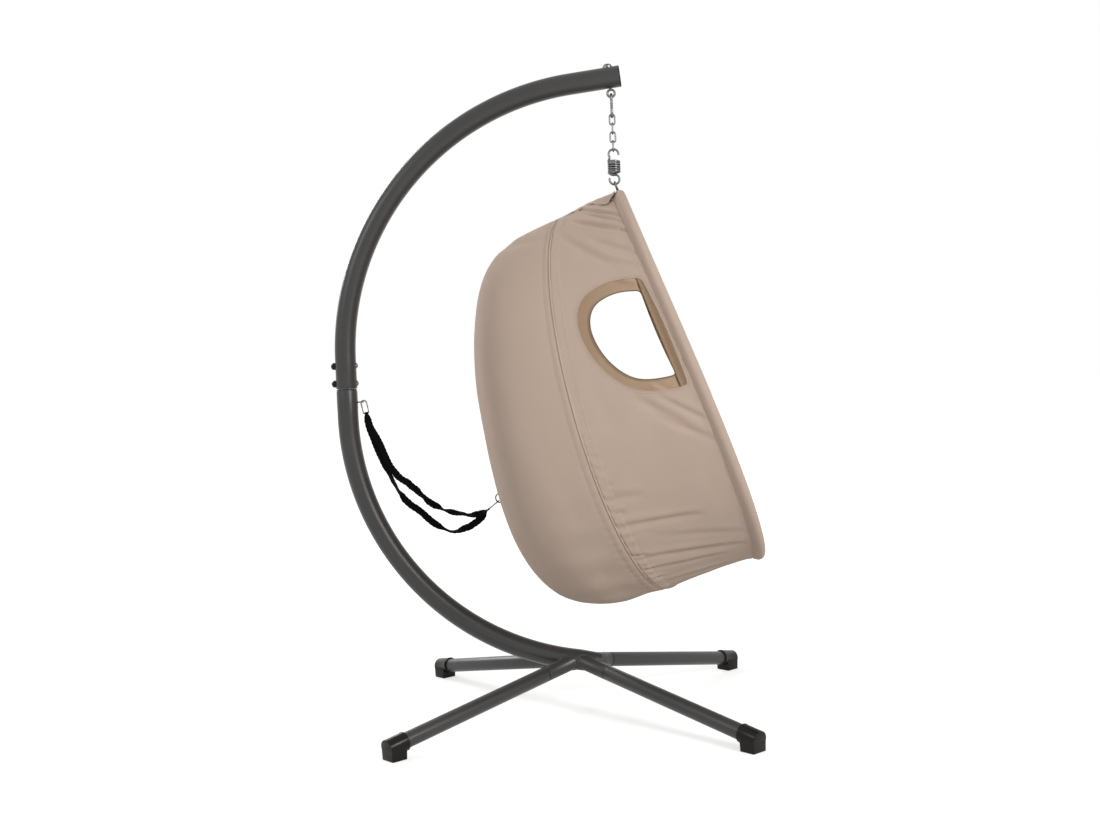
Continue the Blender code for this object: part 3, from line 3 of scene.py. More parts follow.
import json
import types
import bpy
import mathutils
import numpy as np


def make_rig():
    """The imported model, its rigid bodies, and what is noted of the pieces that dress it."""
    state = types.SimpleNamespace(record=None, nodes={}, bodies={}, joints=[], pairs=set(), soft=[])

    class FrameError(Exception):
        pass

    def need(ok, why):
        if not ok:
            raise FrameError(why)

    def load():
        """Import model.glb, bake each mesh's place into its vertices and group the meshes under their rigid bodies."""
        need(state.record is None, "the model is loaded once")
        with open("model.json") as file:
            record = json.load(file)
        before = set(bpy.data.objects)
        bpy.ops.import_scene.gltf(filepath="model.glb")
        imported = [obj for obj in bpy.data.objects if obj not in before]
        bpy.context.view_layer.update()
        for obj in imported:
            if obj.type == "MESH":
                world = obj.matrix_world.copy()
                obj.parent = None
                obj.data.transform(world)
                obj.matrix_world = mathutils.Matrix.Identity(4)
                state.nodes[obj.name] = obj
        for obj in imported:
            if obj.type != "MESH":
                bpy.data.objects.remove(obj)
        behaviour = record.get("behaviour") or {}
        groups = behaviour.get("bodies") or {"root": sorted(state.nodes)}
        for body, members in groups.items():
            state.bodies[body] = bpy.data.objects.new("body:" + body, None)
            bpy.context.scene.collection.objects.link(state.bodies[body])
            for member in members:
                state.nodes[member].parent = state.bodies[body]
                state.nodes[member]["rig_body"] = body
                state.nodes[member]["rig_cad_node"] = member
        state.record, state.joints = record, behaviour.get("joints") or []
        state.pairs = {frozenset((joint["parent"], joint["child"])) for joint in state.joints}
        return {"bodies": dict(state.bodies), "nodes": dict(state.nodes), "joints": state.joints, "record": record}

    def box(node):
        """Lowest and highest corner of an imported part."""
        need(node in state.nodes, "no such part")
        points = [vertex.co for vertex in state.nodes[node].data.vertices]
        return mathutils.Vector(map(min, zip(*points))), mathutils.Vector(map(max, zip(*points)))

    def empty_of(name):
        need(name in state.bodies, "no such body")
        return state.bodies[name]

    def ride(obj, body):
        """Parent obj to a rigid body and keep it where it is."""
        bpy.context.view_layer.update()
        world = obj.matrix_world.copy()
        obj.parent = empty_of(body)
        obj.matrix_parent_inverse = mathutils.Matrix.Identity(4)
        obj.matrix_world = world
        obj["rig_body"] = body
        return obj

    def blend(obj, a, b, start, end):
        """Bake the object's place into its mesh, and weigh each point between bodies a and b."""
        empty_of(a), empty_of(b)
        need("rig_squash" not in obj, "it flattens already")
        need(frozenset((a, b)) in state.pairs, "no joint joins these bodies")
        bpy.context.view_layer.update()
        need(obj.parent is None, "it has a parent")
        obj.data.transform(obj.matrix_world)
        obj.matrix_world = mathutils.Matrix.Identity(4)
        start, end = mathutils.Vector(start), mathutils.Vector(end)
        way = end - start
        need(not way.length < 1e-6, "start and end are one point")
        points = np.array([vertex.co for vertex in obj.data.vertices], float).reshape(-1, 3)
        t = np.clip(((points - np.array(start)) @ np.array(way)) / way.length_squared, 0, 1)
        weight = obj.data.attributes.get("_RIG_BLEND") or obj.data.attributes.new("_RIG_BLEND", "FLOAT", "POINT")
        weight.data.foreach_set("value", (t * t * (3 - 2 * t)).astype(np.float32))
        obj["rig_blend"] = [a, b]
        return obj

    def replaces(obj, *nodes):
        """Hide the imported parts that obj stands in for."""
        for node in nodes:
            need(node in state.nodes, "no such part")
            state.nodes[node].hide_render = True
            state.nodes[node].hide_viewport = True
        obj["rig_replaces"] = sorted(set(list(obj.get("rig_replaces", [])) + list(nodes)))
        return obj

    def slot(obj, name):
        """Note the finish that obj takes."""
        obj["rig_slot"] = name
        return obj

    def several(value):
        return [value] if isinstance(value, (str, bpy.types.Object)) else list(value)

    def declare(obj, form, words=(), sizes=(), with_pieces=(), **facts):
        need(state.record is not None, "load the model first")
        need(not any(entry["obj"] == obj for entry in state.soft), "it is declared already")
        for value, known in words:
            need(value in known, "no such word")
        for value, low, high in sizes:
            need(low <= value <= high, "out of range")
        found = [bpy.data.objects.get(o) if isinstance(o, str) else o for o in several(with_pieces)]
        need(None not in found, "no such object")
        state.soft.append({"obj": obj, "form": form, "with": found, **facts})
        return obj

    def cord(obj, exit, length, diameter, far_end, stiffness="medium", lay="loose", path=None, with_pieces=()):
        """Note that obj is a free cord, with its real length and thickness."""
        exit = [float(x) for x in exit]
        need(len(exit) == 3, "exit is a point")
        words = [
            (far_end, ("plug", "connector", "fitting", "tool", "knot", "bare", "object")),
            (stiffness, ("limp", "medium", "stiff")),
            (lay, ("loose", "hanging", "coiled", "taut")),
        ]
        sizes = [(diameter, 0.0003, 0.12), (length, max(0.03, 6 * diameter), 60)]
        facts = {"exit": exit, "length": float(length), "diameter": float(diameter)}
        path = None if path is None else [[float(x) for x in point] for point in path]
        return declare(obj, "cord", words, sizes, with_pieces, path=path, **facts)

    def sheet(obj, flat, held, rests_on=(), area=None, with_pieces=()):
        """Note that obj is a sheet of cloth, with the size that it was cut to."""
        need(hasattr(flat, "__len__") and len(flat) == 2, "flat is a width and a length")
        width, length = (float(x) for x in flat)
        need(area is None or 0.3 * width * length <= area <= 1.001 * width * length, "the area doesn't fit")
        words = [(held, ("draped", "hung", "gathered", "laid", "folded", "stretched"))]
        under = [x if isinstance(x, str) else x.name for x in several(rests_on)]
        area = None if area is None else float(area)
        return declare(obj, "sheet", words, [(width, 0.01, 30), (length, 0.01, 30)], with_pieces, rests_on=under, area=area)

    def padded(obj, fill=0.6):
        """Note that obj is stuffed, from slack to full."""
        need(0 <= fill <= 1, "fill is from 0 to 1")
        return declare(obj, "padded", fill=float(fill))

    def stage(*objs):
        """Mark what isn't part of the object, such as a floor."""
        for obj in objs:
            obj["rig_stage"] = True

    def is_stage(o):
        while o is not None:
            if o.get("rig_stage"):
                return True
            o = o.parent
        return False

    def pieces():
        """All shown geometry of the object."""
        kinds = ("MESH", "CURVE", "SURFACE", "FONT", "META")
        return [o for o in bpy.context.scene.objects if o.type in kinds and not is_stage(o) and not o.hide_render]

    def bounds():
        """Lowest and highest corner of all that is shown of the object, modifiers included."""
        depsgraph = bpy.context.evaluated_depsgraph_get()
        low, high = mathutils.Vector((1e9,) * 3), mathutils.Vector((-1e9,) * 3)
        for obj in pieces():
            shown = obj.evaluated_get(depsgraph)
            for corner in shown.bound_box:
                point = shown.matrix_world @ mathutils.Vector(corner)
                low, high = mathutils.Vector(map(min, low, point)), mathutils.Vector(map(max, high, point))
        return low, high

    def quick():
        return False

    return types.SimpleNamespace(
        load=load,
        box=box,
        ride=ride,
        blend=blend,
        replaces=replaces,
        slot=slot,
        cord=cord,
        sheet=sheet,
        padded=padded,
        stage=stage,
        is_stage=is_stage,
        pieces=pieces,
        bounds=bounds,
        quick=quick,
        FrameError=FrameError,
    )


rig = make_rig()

bl_info = {
    "name": "Hanging chair dressing",
    "version": (1, 0, 0),
    "blender": (4, 5, 0),
    "location": "3D View > Sidebar > Hanging chair",
    "description": "Builds the visible pieces of a hanging chair and its stand around the packed frame",
    "category": "Object",
}

import json
import math

import bmesh
import bpy
from bpy.props import FloatProperty, FloatVectorProperty, IntProperty, PointerProperty
from mathutils import Matrix, Vector, noise
from mathutils.bvhtree import BVHTree

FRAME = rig.load()
CAD_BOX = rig.bounds()
JOINTS = {joint["name"]: Vector(joint["pos_m"]) for joint in FRAME["joints"] if "pos_m" in joint}

# Stand, in metres: the bow's centre line is the one the frame has
BOW_BACK = 0.6725
HUB_HEIGHT = 0.1528
LOWER_BEND_RADIUS = 0.775
LOWER_UPRIGHT = 0.085
UPPER_UPRIGHT = 0.088
UPPER_BEND_RADIUS = 0.803
UPPER_BEND_ANGLE = math.radians(84)
ARM_STRAIGHT = 0.151
LOWER_END_PAST_HUB = 0.075
SHOULDER_TAPER = 0.010
SHOULDER_START = 0.007
SHOULDER_SINK = 0.0009
BASE_HALF_WIDTH = 0.496
LEG_FOOT_HEIGHT = 0.034
STUB_SEAM = 0.135
BOW_END_TAPER = 0.27
BOLT_RISES = (0.016, 0.070)
EYE_FROM_ARM_END = 0.031
EYE_WIRE = 0.007
EYE_HOLE = 0.015
GAP = 0.0003
BOW_RADIUS = 0.03175
BOW_SIDES = 48
LEG_SIDES = 44
GROOVE_EDGE = 0.0008
WELD_SINK = 0.2
CORNERS = ((1, 1), (1, -1), (-1, 1), (-1, -1))

# Foot caps: the sleeve on the leg, its rim, and the pad under it
FOOT_WALL = 0.0038
FOOT_SLEEVE = 0.055
FOOT_END = 0.0063
FOOT_END_WALL = 0.006
FOOT_RIM = 0.0008
FOOT_RIM_ENDS = (0.004, 0.0055)
FOOT_LIP = 0.0012
FOOT_PAD_LENGTH = 0.0500
FOOT_PAD_BACK = 0.0258
FOOT_PAD_TAPER = 0.96
FOOT_PAD_BEVEL = 0.0022

# Fasteners; a washer's sizes are its margin, its thickness and its sink
BOLT_RADIUS = 0.004
BOLT_SKIRT = 0.0014
BOLT_DOME = 0.0042
BOLT_SOCKET = ((0.0028, 0.0052), (0.0026, 0.0030), (0, 0.0030))
BOLT_WASHER = (0.002, 0.0009, 0.002)
CAP_SINK = 0.001
CAP_SKIRT = 0.005
CAP_DOME = 0.009
CAP_EDGE = 0.0005
PLUG_INSET = 0.004
PLUG_RISE = 0.003
PLUG_LIP = 0.0012
PLUG_DISH = 0.0024
EYE_NUT = 0.013
EYE_NUT_SKIRT = 0.003
EYE_NUT_DOME = 0.0073
EYE_WASHER = (0.002, 0.0012, 0.0035)
EYE_SHANK_PAST = 0.006

# Hanging gear
SNAP_LENGTH = 0.066
SNAP_BEND = 0.012
SNAP_NOSE = 0.017
SNAP_PIVOT = 0.039
SNAP_GATE_WIRE = 0.0066
CHAIN_LINKS = 4
SPRING_TURNS = 5
SPRING_PITCH = 0.0071
SPRING_HOOK_DIAMETER = 0.036
SPRING_NECK = 0.020
SNAP_WIRE = 0.008
SPRING_COIL_STEPS = 10
SPRING_POINTS = 420

# Pod, in its own frame: X forward out of the mouth, Z up along the front hoop
POD_TILT = math.radians(18.5)
HOOP_HEIGHT = 1.148
HOOP_HALF_WIDTH = 0.400
HOOP_FULLNESS = 0.85
HOOP_EGG = 0.08
HOOP_BOW = 0.021
HOOP_BOW_START = 0.45
POD_EYE_RISE = 0.0345
POD_EYE_RADIUS = 0.011
POD_EYE_WIRE = 0.006
POD_EYE_STEM = 0.008
ROD_INSET = 0.009
ROD_DEPTH_TOP = 0.176
ROD_DEPTH_BOTTOM = 0.269
ROD_DEPTH_BOW = 0.1235
BACK_DEPTH = 0.418
BACK_LOWER_SWELL = 0.09
BACK_SQUARENESS = 2.65
BACK_SQUARENESS_LOWER = 0.05
BACK_SIDE_FADE = 4
CASING_RADIUS = 0.0079
CASING_TURN = math.radians(210)
PANEL_SAG = 0.006
WINDOW_CORNER = (-0.015, -0.246)
# Scale of a window, and how far its front edge bows forward, on the left (1) and the right (-1)
WINDOW_SIDES = {1: (0.93, -0.005), -1: (1.0, 0.006)}
WINDOW = (
    (-0.036, -0.270), (-0.128, -0.248), (-0.213, -0.268), (-0.250, -0.345),
    (-0.229, -0.463), (-0.155, -0.558), (-0.021, -0.593),
)
WINDOW_LEADS = ((0.09, -0.035), (0.10, 0.01))
WINDOW_FRONT_STEPS = 40
POD_CROWN = (0.26033, 0, 1.5499)
POD_MIDDLE = Vector((-0.26, 0, -0.56))
CROWN_HALF_LENGTH = 0.055
CROWN_RADIUS = 0.0095
EYE_SLOT = 0.0075

# Cloth of the pod: where the sleeve is sewn (back and out, in sleeve radii), laps and mesh steps
SLEEVE_SEAM = (1.30, 0.22)
CREST_REACH = 0.055
CREST_RISE = 0.60
CREST_HANG = 0.006
PANEL_COLUMNS = 66
PANEL_LAP = 6
LAP_START = math.radians(78)
LAP_END = math.radians(49)
LAP_LIFT = 0.0007
LAP_STEP = 0.0014
SLEEVE_STEP = 0.0026
RIM_RINGS = 34
RIM_STEP = 0.0025
DOME_RINGS = 44
DOME_SPAN = 0.62
CASING_RINGS = 14
ROW_CROWDING = 0.05
COLUMN_CROWDING = 0.10
SEAM_STEPS = 400
PANEL_FLAT = (0.52, 1.50)
BACK_FLAT = (1.30, 1.50)

# Relief of the cloth: slack is coarse, middle and fine; others are height, distance off a seam and reach
PANEL_SLACK = (0.0026, 0.0012, 0.0005)
BACK_SLACK = (0.0045, 0.0017, 0.0009)
CREASE_RUN_OUT = 0.1
CREASE_SHIFT = 0.006
HEM_STEP = 0.0020
HEM_EDGE = 0.0018
SLEEVE_RIDGE = (0.0008, 0.008, 0.005)
PANEL_PUCKER_PITCH = 0.031
BACK_PUCKER_PITCH = 0.027
PUCKER_REACH = 0.016
SLEEVE_PUCKER_REACH = 0.012
PANEL_FLAT_EDGE = 0.003
BACK_FLAT_EDGE = 0.004
ROLL_HEIGHT = 0.0010
ROLL_GROOVE = (0.0005, 0.003, 0.008)
LOWER_HOLLOW = (0.008, 0.075, 0.055)
SHOULDER = (0.016, 0.22, 0.10)
ROOF_CREASE = (0.0050, 0.080, 0.014)
LOW_FOLDS = (0.0034, 0.10, 0.06)
LOW_FOLD_PITCH = 0.11

# Strip along the pod's top: from and across (shares of the panel), how far down it reaches, and how it lies
RIDGE_SPAN = (0.02, 1.04)
RIDGE_MESH = (64, 72)
RIDGE_REACH = 0.044
RIDGE_LIFT = 0.0030
RIDGE_GAPE = 0.0085
RIDGE_CREASE = 0.0016
RIDGE_FRONT = (0.62, 1.02)
RIDGE_FLAT = (0.15, 0.17)

# Cushions: length, width and thickness of each pad, as the frame's solids have them
SEAT_PAD = (0.44, 0.46, 0.120)
BACK_PAD = (0.50, 0.46, 0.052)
BACK_PAD_LEAN = math.radians(10)
PAD_SQUARENESS = 0.55
PAD_DRAW_IN = 0.05
PAD_SEAM_STEPS = 160
PAD_PINCH = 0.0016
PAD_PUCKER = 0.0007
PAD_EDGE = 0.7
PAD_FILLS = {"seat_cushion": 0.7, "back_cushion": 0.55}
FILL_FRAMES = 20

# Tether
BOW_HOOK_TOP = Vector((-0.5487, 0, 0.96829))
BOW_HOOK_UP = Vector((-0.1995, 0, 0.9799))
POD_HOOK_TOP = Vector((-0.14531, 0, 0.64619))
POD_HOOK_UP = Vector((0.7955, 0, 0.606))
TETHER_EYE_RADIUS = 0.007
HOOK_LENGTH = 0.040
HOOK_BEND = 0.0085
HOOK_CORNER = 0.0025
HOOK_NOSE = 0.010
HOOK_PIVOT = 0.028
HOOK_GATE_WIRE = 0.0034
STRAP_END_WIDTH = 0.010
STRAP_END_TAPER = 0.018
TAB_HEIGHT = -0.722
RING_RADIUS = 0.0145
RING_WIRE = 0.004
STRAP_UPPER = (
    (-0.607, 0.886), (-0.590, 0.846), (-0.571, 0.803), (-0.547, 0.759), (-0.520, 0.727),
    (-0.487, 0.702), (-0.457, 0.672), (-0.423, 0.642), (-0.376, 0.619), (-0.325, 0.608), (-0.282, 0.608),
)
STRAP_LOWER = (
    (-0.607, 0.886), (-0.590, 0.846), (-0.573, 0.801), (-0.556, 0.752), (-0.533, 0.698),
    (-0.500, 0.652), (-0.457, 0.616), (-0.411, 0.577), (-0.366, 0.557), (-0.318, 0.570), (-0.280, 0.592),
)
UPPER_TURNS = (
    (0, 0), (0.30, 0.05), (0.52, 0.20), (0.60, 1.15), (0.66, 0.45), (0.73, 1.30), (0.79, 0.75), (0.86, 1.30),
    (0.94, 0.45), (1, 1.571),
)
LOWER_TURNS = (
    (0, 0), (0.26, 0.10), (0.34, 1.20), (0.43, 1.25), (0.50, 0.20), (0.66, 0.30), (0.73, 1.35), (0.79, 1.25),
    (0.85, 0.25), (0.94, 0.35), (1, 1.571),
)
STRAP_BODIES = ("stand", "hook", "chain", "spring", "pod")
STRAP_CUTS = (0, 0.81, 0.88, 0.95, 1)
# Share of each length that stays with the body nearer the bow, so that the slack folds clear of the tube
STRAP_HELD = (0.60, 0.04, 0.04, 0.04)
STRAP_COLUMNS = 6
STRAP_PLY_GAP = 0.0013
STRAP_FAN = 0.006
STRAP_BOB = 0.0032
STRAP_EDGE_WAVE = 0.0006
TAB_HALF_LENGTH = 0.018
TAB_WIDTH = 0.014
TAB_ROWS = 60
TAB_SEAMS = (-0.0155, -0.0085, 0.0085, 0.0155)
TAB_SEAM_HALF = 0.0055
TAB_STAND_OFF = 0.0015

# Stage: lamps (the setting with the power, width, place), and the camera from below the hub
LAMPS = {
    "key_light": ("key", 1.5, (3.2, -3.3, 2.6)),
    "side_light": ("fill", 1.5, (-3.5, -2.4, 3.1)),
    "back_light": ("back", 2.0, (-2.9, 3.0, 3.0)),
}
LAMP_TARGET = (0.1, 0, 0.9)
FLOOR_HALF_SIZE = 40
FLOOR_DROP = 0.0002
FLOOR_WHITE = (1.0, 4.0, 0.85)
SENSOR_WIDTH = 36
CAMERA_PLACE = (0.207, -4.006, 1.04)
CAMERA_YAW = math.radians(3.71)
CAMERA_PITCH = math.radians(1.85)
CAMERA_ROLL = math.radians(2.41)

# Meshing
SPLINE_STEPS = 12
POINT = 1e-6
CLOTH_WELD = 0.00002
CLOTH_SLIVER = 0.000001
CLOTH_SHARP = 70


def size(name, text, default, low, high):
    """A length in metres that the sidebar shows."""
    return FloatProperty(name=name, description=text, default=default, min=low, max=high, unit="LENGTH",
                         precision=4)


def amount(name, text, default, high, low=0):
    """A plain number that the sidebar shows."""
    return FloatProperty(name=name, description=text, default=default, min=low, max=high)


def row_count(name, text, default):
    """How many rows a mesh has."""
    return IntProperty(name=name, description=text, default=default, min=60, max=600)


def colour(name, text, default):
    return FloatVectorProperty(name=name, description=text, default=default, size=3, subtype="COLOR",
                               min=0, max=1)


class StandSettings(bpy.types.PropertyGroup):
    """Sizes and colours of the bow, the legs and their fasteners."""

    bow_diameter: size("Bow diameter", "Outside diameter of the bow tube", 0.0635, 0.03, 0.12)
    leg_diameter: size("Leg diameter", "Outside diameter of the leg tubes", 0.0445, 0.02, 0.08)
    tube_lip: size("Tube lip", "Rounding of the cut ends of the tubes", 0.0009, 0.0002, 0.003)
    groove: size("Groove", "Width of the groove where two tubes meet", 0.0020, 0.0008, 0.004)
    weld_bead: size("Weld bead", "Radius of the weld bead round each stub", 0.0034, 0.001, 0.008)
    bolt_head: size("Bolt head", "Diameter of the joint bolts' heads", 0.014, 0.006, 0.03)
    cap_nut: size("Cap nut", "Diameter of the black cap nuts behind the bow", 0.022, 0.01, 0.04)
    coat: colour("Powder coat", "Colour of the powder coat", (0.038, 0.037, 0.037))
    moulding: colour("Foot moulding", "Colour of the moulded foot caps", (0.0075, 0.0050, 0.0042))


class GearSettings(bpy.types.PropertyGroup):
    """Sizes and colour of the snap hook, the chain and the spring."""

    snap_wire: size("Snap hook wire", "Wire of the snap hook", SNAP_WIRE, 0.004, 0.014)
    chain_wire: size("Chain wire", "Wire of the chain links", 0.005, 0.002, 0.01)
    chain_pitch: size("Chain pitch", "Inside length of a chain link", 0.0265, 0.012, 0.06)
    chain_width: size("Chain width", "Outside width of a chain link", 0.0205, 0.01, 0.04)
    spring_wire: size("Spring wire", "Wire of the extension spring", 0.0064, 0.003, 0.012)
    spring_diameter: size("Spring diameter", "Outside diameter of the coil", 0.039, 0.02, 0.08)
    plate: colour("Zinc plate", "Colour of the zinc-plated steel", (0.20, 0.203, 0.206))


class PodSettings(bpy.types.PropertyGroup):
    """Sizes and colours of the sewn pod."""

    cloth: size("Cloth", "Thickness of the pod's cloth", 0.0016, 0.0006, 0.004)
    sleeve: size("Sleeve radius", "Radius of the sleeve round the front hoop", 0.0150, 0.0135, 0.03)
    crease: amount("Creases", "Depth of the creases", 1.5, 3)
    pucker: size("Puckers", "Depth of the puckers along the seams", 0.0012, 0, 0.004)
    binding: size("Window binding", "Width of the bound edge of the windows", 0.008, 0.004, 0.03)
    hem: size("Hem", "Width of the side panels' hem along the rod", 0.027, 0.01, 0.05)
    stitch_pitch: size("Stitch pitch", "Distance from stitch to stitch", 0.0042, 0.002, 0.02)
    stitch_length: size("Stitch length", "Length of one stitch", 0.0031, 0.001, 0.015)
    thread: size("Thread", "Thickness of the sewing thread", 0.0008, 0.0003, 0.002)
    panel_rows: row_count("Panel rows", "Rows of a side panel's mesh", 280)
    back_rows: row_count("Back rows", "Rows of the back panel's mesh", 440)
    outside: colour("Cloth outside", "Colour of the pod's cloth, outside", (0.510, 0.395, 0.320))
    # The inside colour is lighter and warmer than the outside: painted light for the light that passes through the
    # cloth and bounces inside the pod.
    inside: colour("Cloth inside", "Colour of the pod's cloth, inside", (0.600, 0.445, 0.310))
    thread_colour: colour("Thread colour", "Colour of the sewing thread", (0.42, 0.325, 0.26))


class CushionSettings(bpy.types.PropertyGroup):
    """How the cushions are filled and sewn."""

    voxel: size("Voxel", "Size of the mesh that is filled", 0.006, 0.004, 0.012)
    swell: size("Swell", "Furthest that the filling may push the cloth out", 0.007, 0.001, 0.03)
    pressure: amount("Pressure", "Pressure of the filling", 4, 20)
    piping: size("Piping", "Radius of the piping round the seam", 0.0042, 0.001, 0.01)
    cover: colour("Cover", "Colour of the cushion covers", (0.475, 0.375, 0.285))


class TetherSettings(bpy.types.PropertyGroup):
    """Sizes and colour of the tether."""

    wire: size("Hook wire", "Wire of the small hooks", 0.004, 0.002, 0.008)
    strap_width: size("Strap width", "Width of the webbing", 0.022, 0.01, 0.05)
    strap_thickness: size("Strap thickness", "Thickness of the webbing", 0.0016, 0.0006, 0.004)
    crinkle: amount("Crinkle", "How creased the webbing is", 1.0, 3)
    webbing: colour("Webbing", "Colour of the webbing", (0.0045, 0.004, 0.0042))


class StageSettings(bpy.types.PropertyGroup):
    """Floor, light and camera."""

    floor: colour("Floor", "Colour of the floor", (0.62, 0.62, 0.62))
    glow: amount("White", "White that the camera adds to the floor", 0.6, 1)
    sky: amount("Sky", "Strength of the even light", 0.44, 3)
    key: amount("Key", "Power of the key light", 128, 2000)
    fill: amount("Side", "Power of the light from the left", 38, 2000)
    back: amount("Back", "Power of the light behind", 85, 2000)
    lens: amount("Lens", "Focal length in millimetres", 43.33, 300, 10)


SETTINGS = {
    "stand": StandSettings,
    "gear": GearSettings,
    "pod": PodSettings,
    "cushion": CushionSettings,
    "tether": TetherSettings,
    "stage": StageSettings,
}


def chosen(group):
    """The sidebar's values for one group of pieces."""
    return getattr(bpy.context.scene, "hanging_chair_" + group)


# Lines

def clamped(value, low=0, high=1):
    return min(max(value, low), high)


def circle(count):
    """Angles at equal steps round a full turn."""
    return [2 * math.pi * step / count for step in range(count)]


def arc(centre, radius, start, end, count):
    """Points of an arc in the XZ plane; angles are measured from +X towards +Z."""
    turns = [start + (end - start) * index / count for index in range(count + 1)]
    return [Vector((centre[0] + radius * math.cos(a), 0, centre[1] + radius * math.sin(a))) for a in turns]


def lengths_along(points):
    """Length of a line of points up to each of them."""
    lengths = [0.0]
    for first, second in zip(points, points[1:]):
        lengths.append(lengths[-1] + (second - first).length)
    return lengths


def along(dense, count):
    """Points at equal spacing along a dense line of points."""
    lengths = lengths_along(dense)
    found = []
    index = 0
    for step in range(count + 1):
        want = lengths[-1] * step / count
        while index < len(dense) - 2 and lengths[index + 1] < want:
            index += 1
        share = (want - lengths[index]) / (lengths[index + 1] - lengths[index])
        found.append(dense[index].lerp(dense[index + 1], share))
    return found


def smooth_through(points, count):
    """Evenly spaced points on a smooth curve through the given points."""
    knots = [Vector(point) for point in points]
    ends = [2 * knots[0] - knots[1]] + knots + [2 * knots[-1] - knots[-2]]
    dense = []
    for index in range(len(knots) - 1):
        before, first, second, after = ends[index : index + 4]
        for step in range(SPLINE_STEPS):
            t = step / SPLINE_STEPS
            lift = (second - before) * t + (2 * before - 5 * first + 4 * second - after) * t * t
            dense.append(first + 0.5 * (lift + (3 * first - before - 3 * second + after) * t**3))
    dense.append(knots[-1])
    return along(dense, count)


def eased(points, times):
    """A closed line of points with its corners evened out."""
    count = len(points)
    for _ in range(times):
        points = [(points[index - 1] + 2 * points[index] + points[(index + 1) % count]) / 4
                  for index in range(count)]
    return points


def halved(short_of, low, times):
    """Share between low and 1 up to which a test holds, found by halving."""
    high = 1.0
    for _ in range(times):
        share = (low + high) / 2
        if short_of(share):
            low = share
        else:
            high = share
    return share


def frames_along(points, closed):
    """Unit direction and a steady side vector at each point of a line."""
    count = len(points)
    runs = []
    for index in range(count):
        before = points[index - 1] if closed or index else points[0]
        after = points[(index + 1) % count] if closed or index < count - 1 else points[-1]
        runs.append((after - before).normalized())
    side = runs[0].orthogonal().normalized()
    sides = [side]
    for first, second in zip(runs, runs[1:]):
        side = first.rotation_difference(second) @ side
        side = (side - second * side.dot(second)).normalized()
        sides.append(side)
    return runs, sides


# Meshes

def mesh_of(name, work, sharp=40):
    """A smooth-shaded mesh from a bmesh."""
    work.normal_update()
    bmesh.ops.recalc_face_normals(work, faces=work.faces)
    mesh = bpy.data.meshes.new(name)
    work.to_mesh(mesh)
    work.free()
    mesh.shade_smooth()
    mesh.set_sharp_from_angle(angle=math.radians(sharp))
    return mesh


def add_tube(work, points, radius, sides, closed=False, lip=0.0):
    """Adds a round tube along a line of points; its open ends are closed, with a rounded lip."""
    points = [Vector(point) for point in points]
    radii = list(radius) if hasattr(radius, "__len__") else [radius] * len(points)
    if lip and not closed:
        for _ in range(2):
            run = (points[1] - points[0]).normalized()
            turns = [math.radians(angle) for angle in (90, 65, 40, 20, 0)]
            start, width = points[0], radii[0]
            points[:1] = [start + run * lip * (1 - math.sin(t)) for t in turns]
            radii[:1] = [width - lip * (1 - math.cos(t)) for t in turns]
            points.reverse()
            radii.reverse()
    runs, sideways = frames_along(points, closed)
    turns = circle(sides)
    rings = []
    for point, run, side, width in zip(points, runs, sideways, radii):
        across = run.cross(side)
        spokes = [side * math.cos(t) + across * math.sin(t) for t in turns]
        rings.append([work.verts.new(point + spoke * width) for spoke in spokes])
    pairs = list(zip(rings, rings[1:]))
    if closed:
        pairs.append((rings[-1], rings[0]))
    for first, second in pairs:
        for step in range(sides):
            after = (step + 1) % sides
            work.faces.new((first[step], first[after], second[after], second[step]))
    if not closed:
        work.faces.new(rings[0][::-1])
        work.faces.new(rings[-1])


def tube_mesh(name, points, radius, sides, closed=False, lip=0.0):
    work = bmesh.new()
    add_tube(work, points, radius, sides, closed, lip)
    return mesh_of(name, work)


def turned_mesh(name, place, *profiles, steps=28):
    """Turned solids in one mesh: (radius, height) points spun about the Z axis of a place."""
    work = bmesh.new()
    for profile in profiles:
        rings = []
        for radius, height in profile:
            if radius < POINT:
                rings.append([work.verts.new(place @ Vector((0, 0, height)))])
                continue
            spots = [Vector((radius * math.cos(t), radius * math.sin(t), height)) for t in circle(steps)]
            rings.append([work.verts.new(place @ spot) for spot in spots])
        for first, second in zip(rings, rings[1:]):
            for step in range(steps):
                after = (step + 1) % steps
                corners = [first[step % len(first)], first[after % len(first)]]
                corners += [second[after % len(second)], second[step % len(second)]]
                work.faces.new(list(dict.fromkeys(corners)))
    return mesh_of(name, work)


def dome(radius, base, height, degrees):
    """Profile of a dome, from its rim up."""
    turns = [math.radians(angle) for angle in degrees]
    return [(radius * math.cos(a), base + height * math.sin(a)) for a in turns]


def linked(name, data):
    """A new object in the scene."""
    made = bpy.data.objects.new(name, data)
    bpy.context.scene.collection.objects.link(made)
    return made


def joined(name, first, operations):
    """A mesh with other meshes added to it or cut from it, in order."""
    base = linked(name, first)
    tools = []
    for operation, mesh in operations:
        tool = linked(name + "_tool", mesh)
        cut = base.modifiers.new(operation, "BOOLEAN")
        cut.operation = operation
        cut.object = tool
        cut.solver = "EXACT"
        tools.append(tool)
    mesh = baked(name, base)
    for tool in tools:
        bpy.data.objects.remove(tool)
    return mesh


def evaluated(holder):
    """A plain mesh of an object as its modifiers leave it."""
    bpy.context.view_layer.update()
    graph = bpy.context.evaluated_depsgraph_get()
    return bpy.data.meshes.new_from_object(holder.evaluated_get(graph))


def baked(name, holder):
    """The mesh of an object as its modifiers leave it; the object itself is removed."""
    mesh = evaluated(holder)
    bpy.data.objects.remove(holder)
    mesh.name = name
    return mesh


